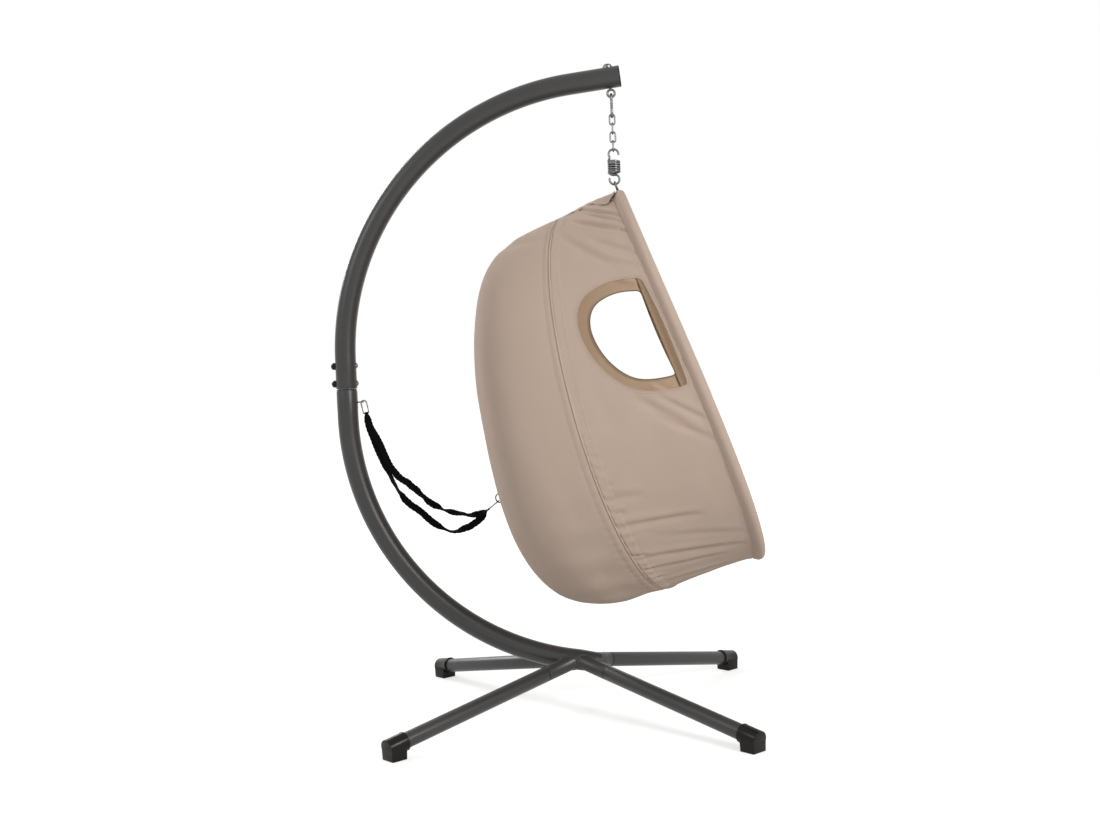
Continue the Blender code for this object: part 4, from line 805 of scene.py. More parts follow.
def cloth_grid(name, rows, columns, place, chart, lift=None):
    """A grid of cloth: place gives each point, chart its spot on the flat cut, and lift pushes it outward."""
    work = bmesh.new()
    grid = [[work.verts.new(place(r, c)) for c in range(columns + 1)] for r in range(rows + 1)]
    layer = work.loops.layers.uv.new("cloth")
    for r in range(rows):
        for c in range(columns):
            corners = ((r, c), (r, c + 1), (r + 1, c + 1), (r + 1, c))
            face = work.faces.new([grid[a][b] for a, b in corners])
            for loop, corner in zip(face.loops, corners):
                loop[layer].uv = chart(*corner)
    if lift:
        work.normal_update()
        moves = []
        for r in range(rows + 1):
            for c in range(columns + 1):
                vert = grid[r][c]
                outward = vert.normal if vert.normal.dot(vert.co - POD_MIDDLE) > 0 else -vert.normal
                moves.append((vert, outward * lift(r, c)))
        for vert, move in moves:
            vert.co += move
    bmesh.ops.remove_doubles(work, verts=work.verts, dist=CLOTH_WELD)
    bmesh.ops.dissolve_degenerate(work, edges=work.edges, dist=CLOTH_SLIVER)
    return mesh_of(name, work, CLOTH_SHARP)


def thickened(name, mesh, thickness):
    """A sheet given its thickness, half to each side."""
    holder = linked(name, mesh)
    wall = holder.modifiers.new("cloth", "SOLIDIFY")
    wall.thickness = thickness
    wall.offset = 0
    return baked(name, holder)


FINISH = {}

# Slot of the frame that each finish goes by
SLOTS = {
    "coat": "powder_coat",
    "foot": "moulded_foot",
    "cap": "black_cap",
    "zinc": "zinc_plate",
    "outside": "pod_cloth",
    "cushion": "pad_cloth",
    "webbing": "webbing",
}


def piece(name, mesh, finish, body, *nodes, slot=None):
    """Links one visible piece that rides on a body of the frame and stands for nodes of it."""
    made = linked(name, mesh)
    if not mesh.materials:
        mesh.materials.append(FINISH[finish])
    if body:
        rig.ride(made, body)
    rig.slot(made, slot or SLOTS[finish])
    if nodes:
        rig.replaces(made, *nodes)
    return made


# Nodes

class Nodes:
    """Short names for building the nodes of one material, group or Geometry Nodes tree."""

    def __init__(self, tree):
        self.tree = tree

    def node(self, kind, **values):
        made = self.tree.nodes.new(kind)
        for name, value in values.items():
            setattr(made, name, value)
        return made

    def put(self, socket, value):
        if isinstance(value, bpy.types.NodeSocket):
            self.tree.links.new(value, socket)
        else:
            socket.default_value = value

    def feed(self, made, inputs):
        """Links or sets a node's inputs, by name or by number."""
        for name, value in inputs.items():
            self.put(made.inputs[name], value)
        return made

    def fed(self, kind, inputs, **values):
        return self.feed(self.node(kind, **values), inputs)

    def maths(self, operation, *values):
        return self.fed("ShaderNodeMath", dict(enumerate(values)), operation=operation).outputs[0]

    def vector(self, operation, inputs):
        return self.fed("ShaderNodeVectorMath", inputs, operation=operation).outputs[0]

    def noise(self, vector, scale, detail=4.0, roughness=0.55):
        inputs = {"Vector": vector, "Scale": scale, "Detail": detail, "Roughness": roughness}
        return self.fed("ShaderNodeTexNoise", inputs).outputs["Fac"]

    def mix(self, share, first, second):
        return self.fed("ShaderNodeMix", {0: share, 6: first, 7: second}, data_type="RGBA").outputs[2]

    def between(self, value, low, high):
        """A value from 0 to 1 spread over a range."""
        return self.fed("ShaderNodeMapRange", {"Value": value, "To Min": low, "To Max": high}).outputs[0]


def new_tree(name, sockets):
    """A Geometry Nodes tree with named inputs; the first input and the only output are geometry."""
    tree = bpy.data.node_groups.new(name, "GeometryNodeTree")
    for label, kind in [("Geometry", "Geometry")] + sockets:
        tree.interface.new_socket(label, in_out="INPUT", socket_type="NodeSocket" + kind)
    tree.interface.new_socket("Geometry", in_out="OUTPUT", socket_type="NodeSocketGeometry")
    return tree, Nodes(tree), tree.nodes.new("NodeGroupInput").outputs


def end_tree(net, points, shape, rotation, given):
    """Copies of a shape on points, made real and given their finish, at the end of a tree."""
    inputs = {"Points": points, "Instance": shape, "Rotation": rotation}
    copies = net.fed("GeometryNodeInstanceOnPoints", inputs)
    real = net.fed("GeometryNodeRealizeInstances", {0: copies.outputs[0]})
    painted = net.fed("GeometryNodeSetMaterial", {"Geometry": real.outputs[0], "Material": given["Finish"]})
    net.fed("NodeGroupOutput", {0: painted.outputs[0]})


def repeat_tree():
    """Copies of a piece, each moved by Step and turned by Turn about an upright axis through Pivot."""
    found = bpy.data.node_groups.get("repeat_in_turn")
    if found:
        return found
    sockets = [("Count", "Int"), ("Step", "Vector"), ("Turn", "Float"), ("Pivot", "Vector")]
    tree, net, given = new_tree("repeat_in_turn", sockets + [("Finish", "Material")])
    index = net.node("GeometryNodeInputIndex").outputs[0]
    shift = net.vector("SCALE", {0: given["Step"], "Scale": index})
    place = net.vector("ADD", {0: given["Pivot"], 1: shift})
    points = net.fed("GeometryNodePoints", {"Count": given["Count"], "Position": place})
    home = net.vector("SUBTRACT", {0: (0, 0, 0), 1: given["Pivot"]})
    centred = net.fed("GeometryNodeTransform", {"Geometry": given["Geometry"], "Translation": home})
    turn = net.fed("ShaderNodeCombineXYZ", {"Z": net.maths("MULTIPLY", given["Turn"], index)})
    end_tree(net, points.outputs[0], centred.outputs[0], turn.outputs[0], given)
    return tree


def stitch_tree():
    """Stitches at an even pitch along the edges of a mesh, each a thin bead laid along the seam."""
    found = bpy.data.node_groups.get("stitch_run")
    if found:
        return found
    sockets = [("Pitch", "Float"), ("Length", "Float"), ("Thread", "Float"), ("Finish", "Material")]
    tree, net, given = new_tree("stitch_run", sockets)
    line = net.fed("GeometryNodeMeshToCurve", {0: given["Geometry"]}).outputs[0]
    spaced = net.fed("GeometryNodeResampleCurve", {"Curve": line, "Length": given["Pitch"]}, mode="LENGTH")
    tangent = net.node("GeometryNodeInputTangent").outputs[0]
    aim = net.fed("FunctionNodeAlignRotationToVector", {"Vector": tangent}, axis="X")
    bead = net.fed("GeometryNodeMeshIcoSphere", {"Radius": 0.5, "Subdivisions": 2}).outputs[0]
    sizes = {"X": given["Length"], "Y": given["Thread"], "Z": given["Thread"]}
    shape = net.fed("ShaderNodeCombineXYZ", sizes).outputs[0]
    stitch = net.fed("GeometryNodeTransform", {"Geometry": bead, "Scale": shape})
    end_tree(net, spaced.outputs[0], stitch.outputs[0], aim.outputs[0], given)
    return tree


def grown(name, mesh, tree, values):
    """A plain mesh from a Geometry Nodes tree that is run on a mesh."""
    holder = linked(name, mesh)
    grow = holder.modifiers.new(tree.name, "NODES")
    grow.node_group = tree
    for item in tree.interface.items_tree:
        if item.item_type == "SOCKET" and item.in_out == "INPUT" and item.name in values:
            grow[item.identifier] = values[item.name]
    return baked(name, holder)


def repeated(name, mesh, count, step, turn, pivot, finish):
    values = {"Count": count, "Step": step, "Turn": turn, "Pivot": pivot, "Finish": finish}
    made = grown(name, mesh, repeat_tree(), values)
    made.shade_smooth()
    made.set_sharp_from_angle(angle=math.radians(40))
    return made


def stitched(name, lines, finish):
    """One mesh of stitches along several lines of points; a line is (points, closed)."""
    pod = chosen("pod")
    mesh = bpy.data.meshes.new(name)
    places, edges = [], []
    for points, closed in lines:
        first = len(places)
        places += [tuple(point) for point in points]
        edges += [(index, index + 1) for index in range(first, len(places) - 1)]
        if closed:
            edges.append((len(places) - 1, first))
    mesh.from_pydata(places, edges, [])
    values = {"Pitch": pod.stitch_pitch, "Length": pod.stitch_length, "Thread": pod.thread, "Finish": finish}
    made = grown(name, mesh, stitch_tree(), values)
    made.shade_smooth()
    return made


# Finishes

def new_group(name, inputs, outputs):
    """An empty shader node group with named inputs and outputs."""
    group = bpy.data.node_groups.new(name, "ShaderNodeTree")
    for label, kind, default in inputs:
        socket = group.interface.new_socket(label, in_out="INPUT", socket_type="NodeSocket" + kind)
        if default is not None:
            socket.default_value = default
    for label, kind in outputs:
        group.interface.new_socket(label, in_out="OUTPUT", socket_type="NodeSocket" + kind)
    return group, Nodes(group), group.nodes.new("NodeGroupInput"), group.nodes.new("NodeGroupOutput")


def weave_group():
    """Plain weave: threads over and under each other, with slubs, uneven dye and painted shade where the threads dip.
    """
    inputs = [("Vector", "Vector", None), ("Place", "Vector", None), ("Pitch", "Float", 0.0012),
              ("Colour", "Color", (0.5, 0.4, 0.3, 1)), ("Slub", "Float", 0.1)]
    group, net, given, result = new_group("plain_weave", inputs, [("Colour", "Color"), ("Height", "Float")])
    split = net.fed("ShaderNodeSeparateXYZ", {0: given.outputs["Vector"]})
    across = net.maths("DIVIDE", split.outputs[0], given.outputs["Pitch"])
    down = net.maths("DIVIDE", split.outputs[1], given.outputs["Pitch"])
    over = net.maths("PINGPONG", net.maths("ADD", net.maths("FLOOR", across), net.maths("FLOOR", down)), 1.0)
    warp = net.maths("ABSOLUTE", net.maths("SINE", net.maths("MULTIPLY", across, math.pi)))
    weft = net.maths("ABSOLUTE", net.maths("SINE", net.maths("MULTIPLY", down, math.pi)))
    thread = net.maths("ADD", net.maths("MULTIPLY", warp, over),
                       net.maths("MULTIPLY", weft, net.maths("SUBTRACT", 1.0, over)))
    slubs = -1.0
    for scale in ((30, 900, 1), (900, 30, 1)):
        stretch = net.fed("ShaderNodeMapping", {"Vector": given.outputs["Vector"], "Scale": scale})
        slubs = net.maths("ADD", slubs, net.noise(stretch.outputs[0], 1.0, 2.0))
    dye = net.noise(given.outputs["Place"], 2.4, 3.0)
    slubs = net.maths("MULTIPLY", slubs, given.outputs["Slub"])
    # The colour is darker where the threads dip: painted shade between the threads; slubs and dye vary the tone as the
    # yarn does.
    dye_and_thread_shade = net.maths("ADD", net.between(thread, 0.93, 1.03), slubs)
    dye_and_thread_shade = net.maths("MULTIPLY", dye_and_thread_shade, net.between(dye, 0.93, 1.07))
    net.put(result.inputs["Colour"], net.vector("SCALE", {0: given.outputs["Colour"], "Scale": dye_and_thread_shade}))
    net.put(result.inputs["Height"], thread)
    return group


def grain_group():
    """Fine surface grain of coated or moulded pieces, with patches that are a little duller and dustier."""
    inputs = [("Place", "Vector", None), ("Size", "Float", 900.0), ("Colour", "Color", (0.1, 0.1, 0.1, 1)),
              ("Dust", "Color", (0.3, 0.28, 0.25, 1)), ("Dusting", "Float", 0.05)]
    outputs = [("Colour", "Color"), ("Height", "Float"), ("Dullness", "Float")]
    group, net, given, result = new_group("surface_grain", inputs, outputs)
    fine = net.noise(given.outputs["Place"], given.outputs["Size"], 2.0, 0.5)
    patches = net.noise(given.outputs["Place"], 9.0, 5.0)
    specks = net.maths("POWER", fine, 3.0)
    dusty = net.maths("MULTIPLY", net.maths("ADD", patches, specks), given.outputs["Dusting"])
    net.put(result.inputs["Colour"], net.mix(dusty, given.outputs["Colour"], given.outputs["Dust"]))
    net.put(result.inputs["Height"], fine)
    net.put(result.inputs["Dullness"], patches)
    return group


def new_finish(name):
    """A material with its Principled shader, the object's own coordinates and a place for groups."""
    finish = bpy.data.materials.new(name)
    finish.use_nodes = True
    net = Nodes(finish.node_tree)
    shader = finish.node_tree.nodes["Principled BSDF"]
    places = net.node("ShaderNodeTexCoord")
    return finish, net, shader, places


def bump(net, shader, height, strength, distance):
    made = net.fed("ShaderNodeBump", {"Strength": strength, "Distance": distance, "Height": height})
    net.put(shader.inputs["Normal"], made.outputs[0])


def grained(name, tone, dust, dusting, grain, roughness, spread, metallic, strength, gloss=0.5, edge=1.0):
    """A coated, plated or moulded finish; a metal's reflection fades at its edges by the last value."""
    finish, net, shader, places = new_finish(name)
    values = {"Place": places.outputs["Object"], "Size": grain, "Colour": (*tone, 1), "Dust": (*dust, 1),
              "Dusting": dusting}
    made = net.fed("ShaderNodeGroup", values, node_tree=bpy.data.node_groups["surface_grain"])
    dullness = net.between(made.outputs["Dullness"], roughness - spread, roughness + spread)
    looks = {"Base Color": made.outputs["Colour"], "Roughness": dullness, "Metallic": metallic,
             "Specular IOR Level": gloss, "Specular Tint": (edge, edge, edge, 1)}
    net.feed(shader, looks)
    bump(net, shader, made.outputs["Height"], strength, 0.0004)
    return finish


def woven(name, tone, pitch, slub, strength, sheen, mapped=True, gloss=0.25):
    """A woven cloth; a mapped one has a UV map in metres, and another takes the object's coordinates."""
    finish, net, shader, places = new_finish(name)
    vector = places.outputs["UV"] if mapped else places.outputs["Object"]
    values = {"Vector": vector, "Place": places.outputs["Object"], "Pitch": pitch, "Colour": (*tone, 1),
              "Slub": slub}
    made = net.fed("ShaderNodeGroup", values, node_tree=bpy.data.node_groups["plain_weave"])
    dullness = net.between(made.outputs["Height"], 0.92, 0.80)
    looks = {"Base Color": made.outputs["Colour"], "Roughness": dullness,
             "Specular IOR Level": gloss, "Sheen Weight": sheen, "Sheen Roughness": 0.45,
             "Sheen Tint": (*[min(1, 1.5 * part) for part in tone], 1)}
    net.feed(shader, looks)
    bump(net, shader, made.outputs["Height"], strength, 0.0005)
    return finish


def make_finishes():
    """All the materials, by the names of what they cover."""
    weave_group()
    grain_group()
    stand, gear, pod = chosen("stand"), chosen("gear"), chosen("pod")
    cushion, tether = chosen("cushion"), chosen("tether")
    dust, grime = (0.24, 0.22, 0.20), (0.10, 0.097, 0.090)
    black, glass = (0.006, 0.006, 0.006), (0.62, 0.60, 0.54)
    # The binding's fold is the inside colour painted far darker: painted shade in the fold of the tape.
    shaded_fold = [0.40 * part for part in pod.inside]
    return {
        "coat": grained("powder_coat", stand.coat, dust, 0.05, 1400, 0.33, 0.05, 0.0, 0.20, 0.36),
        "foot": grained("moulded_foot", stand.moulding, dust, 0.02, 700, 0.24, 0.05, 0.0, 0.2, 0.16),
        "cap": grained("black_cap", black, dust, 0.02, 800, 0.28, 0.05, 0.0, 0.2, 0.16),
        "zinc": grained("zinc_plate", gear.plate, grime, 0.45, 420, 0.34, 0.10, 1.0, 0.12, edge=0.2),
        "rod": grained("glass_fibre", glass, dust, 0.05, 600, 0.5, 0.05, 0.0, 0.1),
        "outside": woven("pod_cloth", pod.outside, 0.0011, 0.10, 0.35, 0.25),
        # The inside finish is the same cloth painted lighter and warmer: painted light inside the pod.
        "inside": woven("pod_cloth_inside", pod.inside, 0.0011, 0.10, 0.35, 0.2),
        "binding": woven("pod_binding", shaded_fold, 0.0009, 0.12, 0.4, 0.2, False),
        "thread": woven("sewing_thread", pod.thread_colour, 0.0004, 0.05, 0.3, 0.1, False),
        "cushion": woven("cushion_cover", cushion.cover, 0.0013, 0.12, 0.4, 0.3, False),
        "webbing": woven("webbing", tether.webbing, 0.0016, 0.3, 0.7, 0.0, gloss=0.06),
    }


# Stand

HUB = Vector((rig.box("lower_bow_tube")[0].x + BOW_BACK + BOW_RADIUS, 0, HUB_HEIGHT))


def lower_bend_angle(x):
    """Turn of the lower bend at which its centre line is x in front of the hub."""
    return math.acos(1 - (x + BOW_BACK) / LOWER_BEND_RADIUS)


LOWER_BEND_START = HUB_HEIGHT + LOWER_BEND_RADIUS * math.sin(lower_bend_angle(0))
JOINT_HEIGHT = LOWER_BEND_START + LOWER_UPRIGHT
UPPER_BEND_START = JOINT_HEIGHT + UPPER_UPRIGHT
ARM_SLOPE = math.pi / 2 - UPPER_BEND_ANGLE
ARM_RUN = Vector((math.cos(ARM_SLOPE), 0, math.sin(ARM_SLOPE)))
ARM_START = Vector((
    HUB.x - BOW_BACK + UPPER_BEND_RADIUS * (1 - math.cos(UPPER_BEND_ANGLE)),
    0,
    UPPER_BEND_START + UPPER_BEND_RADIUS * math.sin(UPPER_BEND_ANGLE),
))
ARM_END = ARM_START + ARM_RUN * ARM_STRAIGHT
EYE_ON_ARM = ARM_END - ARM_RUN * EYE_FROM_ARM_END


def upright(height):
    """Point on the bow's centre line where it stands straight up."""
    return Vector((HUB.x - BOW_BACK, 0, height))


def leg_line(side_x=1, side_y=1):
    """Unit direction and length of a leg's centre line, from the hub."""
    foot = Vector((side_x * BASE_HALF_WIDTH, side_y * BASE_HALF_WIDTH, LEG_FOOT_HEIGHT - HUB_HEIGHT))
    return foot.normalized(), foot.length


def bow_meshes(stand):
    """The two tubes of the bow; the lower one has its four stubs."""
    radius = stand.bow_diameter / 2
    bend = arc((HUB.x - BOW_BACK + UPPER_BEND_RADIUS, UPPER_BEND_START), UPPER_BEND_RADIUS,
               math.pi, math.pi - UPPER_BEND_ANGLE, 72)
    path = [upright(JOINT_HEIGHT)] + bend + [ARM_END]
    upper = tube_mesh("upper_bow", path, radius, BOW_SIDES, lip=stand.tube_lip)
    bend = arc((HUB.x - BOW_BACK + LOWER_BEND_RADIUS, LOWER_BEND_START), LOWER_BEND_RADIUS,
               math.pi, math.pi + lower_bend_angle(LOWER_END_PAST_HUB), 80)
    groove = stand.groove
    drops = (2 * GAP, groove, groove, groove + GROOVE_EDGE, SHOULDER_START, SHOULDER_TAPER)
    path = [upright(JOINT_HEIGHT - drop) for drop in drops] + bend
    sink = SHOULDER_SINK
    widths = [radius - part for part in (2 * groove, 2 * groove, 2 * sink, sink, sink, 0)]
    for point in bend:
        past = max(0, point.x - HUB.x) / LOWER_END_PAST_HUB
        widths.append(radius * (1 - BOW_END_TAPER * past**1.5))
    lower = tube_mesh("lower_bow", path, widths, BOW_SIDES, lip=stand.tube_lip)
    stub = stand.leg_diameter / 2
    seam = STUB_SEAM - groove
    reaches = (0, seam - GROOVE_EDGE, seam, seam, STUB_SEAM - 2 * GAP)
    widths = [stub, stub, stub - GROOVE_EDGE, stub - 2 * groove, stub - 2 * groove]
    stubs = []
    for side_x, side_y in CORNERS:
        run, _ = leg_line(side_x, side_y)
        path = [HUB + run * reach for reach in reaches]
        stubs.append(("UNION", tube_mesh("stub", path, widths, LEG_SIDES)))
    return upper, lower, joined("lower_bow", lower, stubs)


def weld_line(tree, run, reach):
    """Closed line where a stub meets the bow, found by casting rays along the stub's surface."""
    side = run.cross(Vector((0, 0, 1))).normalized()
    up = side.cross(run)
    points = []
    for angle in circle(72):
        start = HUB + (side * math.cos(angle) + up * math.sin(angle)) * reach + run * STUB_SEAM
        hit = tree.ray_cast(start, -run)[0]
        points.append(hit if hit else start - run * STUB_SEAM / 2)
    return points


def tree_of(mesh):
    places = [vert.co for vert in mesh.vertices]
    return BVHTree.FromPolygons(places, [face.vertices[:] for face in mesh.polygons])


def make_bow():
    stand = chosen("stand")
    upper, plain, lower = bow_meshes(stand)
    piece("upper_bow", upper, "coat", "stand", "upper_bow_tube")
    piece("lower_bow", lower, "coat", "stand", "lower_bow_tube")
    tree = tree_of(plain)
    work = bmesh.new()
    for side_x, side_y in CORNERS:
        run, _ = leg_line(side_x, side_y)
        line = weld_line(tree, run, stand.leg_diameter / 2 + WELD_SINK * stand.weld_bead)
        widths = [stand.weld_bead * (1 + 0.12 * math.sin(step * 2.1)) for step in range(len(line))]
        add_tube(work, line, widths, 10, closed=True)
    piece("hub_welds", mesh_of("hub_welds", work), "coat", "stand")
    bpy.data.meshes.remove(plain)


def make_legs():
    stand = chosen("stand")
    run, length = leg_line()
    ends = [HUB + run * STUB_SEAM, HUB + run * length]
    leg = tube_mesh("leg", ends, stand.leg_diameter / 2, LEG_SIDES, lip=stand.tube_lip)
    names = ("front_left", "rear_left", "rear_right", "front_right")
    for name, mesh, finish, ending in (("legs", leg, "coat", "_leg"),
                                       ("foot_caps", foot_mesh(run, length), "foot", "_foot")):
        made = repeated(name, mesh, len(names), (0, 0, 0), math.pi / 2, (HUB.x, 0, 0), FINISH[finish])
        piece(name, made, finish, "stand", *[corner + ending for corner in names])


def foot_mesh(run, length):
    """One moulded cap: a sleeve on the leg's end, a raised rim, a flat end and a tapered pad under it."""
    radius = chosen("stand").leg_diameter / 2
    outer = radius + FOOT_WALL
    begin = HUB + run * (length - FOOT_SLEEVE)
    end = HUB + run * (length + FOOT_END)
    steps = [begin] + [begin + run * reach for reach in FOOT_RIM_ENDS] + [end]
    widths = [outer + FOOT_RIM, outer + FOOT_RIM, outer, outer]
    sleeve = tube_mesh("foot_sleeve", steps, widths, LEG_SIDES, lip=FOOT_LIP)
    middle = end - run * FOOT_PAD_BACK
    heading = math.atan2(run.y, run.x)
    work = bmesh.new()
    bmesh.ops.create_cube(work, size=1)
    for vert in work.verts:
        x, y, z = vert.co
        narrow = FOOT_PAD_TAPER if z < 0 else 1
        vert.co = (x * FOOT_PAD_LENGTH * narrow, y * 2 * outer * narrow, (z + 0.5) * middle.z)
    bmesh.ops.bevel(work, geom=work.edges, offset=FOOT_PAD_BEVEL, segments=3, affect="EDGES", profile=0.6)
    work.transform(Matrix.Translation((middle.x, middle.y, 0)) @ Matrix.Rotation(heading, 4, "Z"))
    ends = [begin - run * 0.02, end - run * FOOT_END_WALL]
    socket = tube_mesh("foot_socket", ends, radius + GAP, LEG_SIDES)
    return joined("foot_cap", sleeve, [("UNION", mesh_of("foot_pad", work)), ("DIFFERENCE", socket)])


def aimed(origin, upward):
    """A place whose Z axis points a given way."""
    return Matrix.Translation(origin) @ Vector(upward).to_track_quat("Z", "Y").to_matrix().to_4x4()


def make_fasteners():
    """Joint bolts with washers in front of the bow, cap nuts behind it, and the plug in the arm's end."""
    stand = chosen("stand")
    radius = stand.bow_diameter / 2
    low, high = [JOINT_HEIGHT + rise for rise in BOLT_RISES]
    step = (0, 0, high - low)
    pivot = tuple(upright(low))
    head = stand.bolt_head / 2
    margin, thick, sink = BOLT_WASHER
    face = radius + thick
    washer = [(0, radius - sink), (head + margin, radius - sink), (head + margin, face), (0, face)]
    bolt = [(0, -radius), (BOLT_RADIUS, -radius), (BOLT_RADIUS, face), (head, face)]
    bolt += dome(head, radius + BOLT_SKIRT, BOLT_DOME, range(0, 90, 12))
    bolt += [(width, radius + rise) for width, rise in BOLT_SOCKET]
    mesh = turned_mesh("joint_bolt", aimed(upright(low), (1, 0, 0)), washer, bolt)
    mesh = repeated("joint_bolts", mesh, 2, step, 0, pivot, FINISH["zinc"])
    piece("joint_bolts", mesh, "zinc", "stand", "upper_joint_bolt", "lower_joint_bolt")
    cap = stand.cap_nut / 2
    nut = [(0, radius - CAP_SINK), (cap, radius - CAP_SINK), (cap, radius + CAP_SKIRT - CAP_EDGE)]
    nut += dome(cap, radius + CAP_SKIRT, CAP_DOME, range(8, 90, 10)) + [(0, radius + CAP_SKIRT + CAP_DOME)]
    mesh = turned_mesh("cap_nut", aimed(upright(low), (-1, 0, 0)), nut)
    mesh = repeated("cap_nuts", mesh, 2, step, 0, pivot, FINISH["cap"])
    piece("cap_nuts", mesh, "cap", "stand", "upper_cap_nut", "lower_cap_nut")
    inner, edge = radius - PLUG_INSET, PLUG_RISE - PLUG_LIP
    plug = [(0, -PLUG_INSET), (inner, -PLUG_INSET), (inner, 0.0001), (radius, 0.0001), (radius, edge)]
    for turn in (0.5, 1.0, math.pi / 2):
        plug.append((radius - PLUG_LIP * (1 - math.cos(turn)), edge + PLUG_LIP * math.sin(turn)))
    plug += [(radius * 0.55, PLUG_RISE), (radius * 0.5, PLUG_DISH), (0, PLUG_DISH)]
    mesh = turned_mesh("arm_plug", aimed(ARM_END, ARM_RUN), plug, steps=BOW_SIDES)
    piece("arm_plug", mesh, "cap", "stand", "arm_end_plug")


# Hanging gear

EYE_RING = (EYE_HOLE + EYE_WIRE) / 2
SWING = JOINTS["pod_swing"]
SWAY = JOINTS["pod_sway"]
TURN = JOINTS["pod_turn"]
EYE_CENTRE = Vector((SWING.x, 0, SWING.z - SNAP_WIRE / 2 - GAP + EYE_HOLE / 2))


def make_eye_bolt():
    """The eye bolt through the arm, and its dome nut on top."""
    slope = Matrix.Translation(EYE_CENTRE) @ Matrix.Rotation(-ARM_SLOPE, 4, "Y")
    seat = (EYE_ON_ARM - EYE_CENTRE).length + chosen("stand").bow_diameter / 2
    ring = [slope @ Vector((EYE_RING * math.cos(t), 0, EYE_RING * math.sin(t))) for t in circle(48)]
    eye = tube_mesh("eye_ring", ring, EYE_WIRE / 2, 16, closed=True)
    ends = [slope @ Vector((0, 0, rise)) for rise in (EYE_RING, seat + EYE_SHANK_PAST)]
    shank = tube_mesh("eye_shank", ends, EYE_WIRE / 2, 20)
    mesh = joined("eye_bolt_ring", eye, [("UNION", shank)])
    piece("eye_bolt_ring", mesh, "zinc", "stand", "eye_bolt")
    margin, thick, sink = EYE_WASHER
    edge = EYE_NUT + margin
    nut = [(0, seat - sink), (edge, seat - sink), (edge, seat + thick), (EYE_NUT, seat + thick + 0.0002)]
    nut += dome(EYE_NUT, seat + EYE_NUT_SKIRT, EYE_NUT_DOME, range(0, 90, 10))
    nut += [(0, seat + EYE_NUT_SKIRT + EYE_NUT_DOME)]
    piece("eye_nut", turned_mesh("eye_nut", slope, nut, steps=32), "zinc", "stand", "eye_bolt_nut")


def hook_path(length, bend, corner, nose, pivot_end):
    """Open loop in the YZ plane, from the gate's pivot round the bottom and over the top to the nose."""
    half = bend - corner
    flat = [Vector((-bend, 0, -pivot_end))]
    flat += arc((-half, -length + corner), corner, math.pi, 1.5 * math.pi, 10)
    flat += arc((half, -length + corner), corner, 1.5 * math.pi, 2 * math.pi, 10)[0 if half else 1 :]
    flat += arc((0, -bend), bend, 0, math.pi, 22) + [Vector((-bend, 0, -nose))]
    return [Vector((0, point.x, point.z)) for point in flat]


def make_snap(names, nodes, bodies, place, sizes):
    """A snap hook, and its sprung gate with a groove turned in it."""
    wire, length, bend, corner, nose, pivot, gate_wire = sizes
    gate = gate_wire / 2
    path = [place @ point for point in hook_path(length, bend, corner, nose, pivot + gate + GAP)]
    body = tube_mesh(names[0], path, wire / 2, 20, lip=0.12 * wire)
    hook = piece(names[0], body, "zinc", bodies[0], nodes[0])
    tip = pivot - nose - 2 * GAP
    chamfer, waist = 0.25 * gate, 0.93 * gate
    profile = [(0, tip), (gate - chamfer, tip), (gate, tip - chamfer), (gate, 0.3 * tip)]
    profile += [(waist, 0.3 * tip - GAP), (waist, 0.22 * tip), (gate, 0.22 * tip - GAP)]
    profile += dome(gate, 0, -gate, range(0, 90, 15)) + [(0, -gate)]
    mesh = turned_mesh(names[1], place @ Matrix.Translation((0, -bend, -pivot)), profile, steps=20)
    return [hook, piece(names[1], mesh, "zinc", bodies[1], nodes[1])]


def make_hanging_gear():
    """The snap hook, the chain and the spring."""
    gear = chosen("gear")
    sizes = (gear.snap_wire, SNAP_LENGTH, SNAP_BEND, SNAP_BEND, SNAP_NOSE, SNAP_PIVOT, SNAP_GATE_WIRE)
    make_snap(("snap_body", "snap_gate"), ("snap_hook", "snap_hook_gate"), ("hook", "hook_gate"),
              Matrix.Translation(SWING), sizes)
    bend = (gear.chain_width - gear.chain_wire) / 2
    height = gear.chain_pitch + gear.chain_wire
    line = arc((0, -bend), bend, 0, math.pi, 16) + arc((0, -height + bend), bend, math.pi, 2 * math.pi, 16)
    link = tube_mesh("chain_link", [SWAY + point for point in line], gear.chain_wire / 2, 14, closed=True)
    step = (0, 0, -(gear.chain_pitch - GAP))
    chain = repeated("chain", link, CHAIN_LINKS, step, math.pi / 2, tuple(SWAY), FINISH["zinc"])
    piece("chain", chain, "zinc", "chain", *[f"chain_link_{index + 1}" for index in range(CHAIN_LINKS)])
    points = [TURN + point for point in spring_line(gear)]
    spring = tube_mesh("spring", points, gear.spring_wire / 2, 14, lip=0.0008)
    made = piece("spring", spring, "zinc", None, "hanging_spring")
    hook = (SPRING_HOOK_DIAMETER - gear.spring_wire) / 2
    top = TURN - Vector((0, 0, hook + SPRING_NECK))
    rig.blend(made, "spring", "pod", start=top, end=top - Vector((0, 0, SPRING_TURNS * SPRING_PITCH)))


def spring_line(gear):
    """One wire from the top of the upper hook: an open hook, the close coil, and an open hook below."""
    hook = (SPRING_HOOK_DIAMETER - gear.spring_wire) / 2
    coil = (gear.spring_diameter - gear.spring_wire) / 2
    coil_top = -hook - SPRING_NECK
    line = arc((0, -hook), hook, math.radians(-10), math.radians(215), 10)
    for step in range(SPRING_COIL_STEPS * SPRING_TURNS + 1):
        turns = step / SPRING_COIL_STEPS
        angle = math.pi + 2 * math.pi * turns
        line.append(Vector((coil * math.cos(angle), coil * math.sin(angle), coil_top - SPRING_PITCH * turns)))
    centre = coil_top - SPRING_TURNS * SPRING_PITCH - SPRING_NECK
    line.append(Vector((-0.4 * hook, 0, centre + 0.92 * hook)))
    line += arc((0, centre), hook, math.radians(65), math.radians(-200), 11)
    return smooth_through(line, SPRING_POINTS)


# Pod

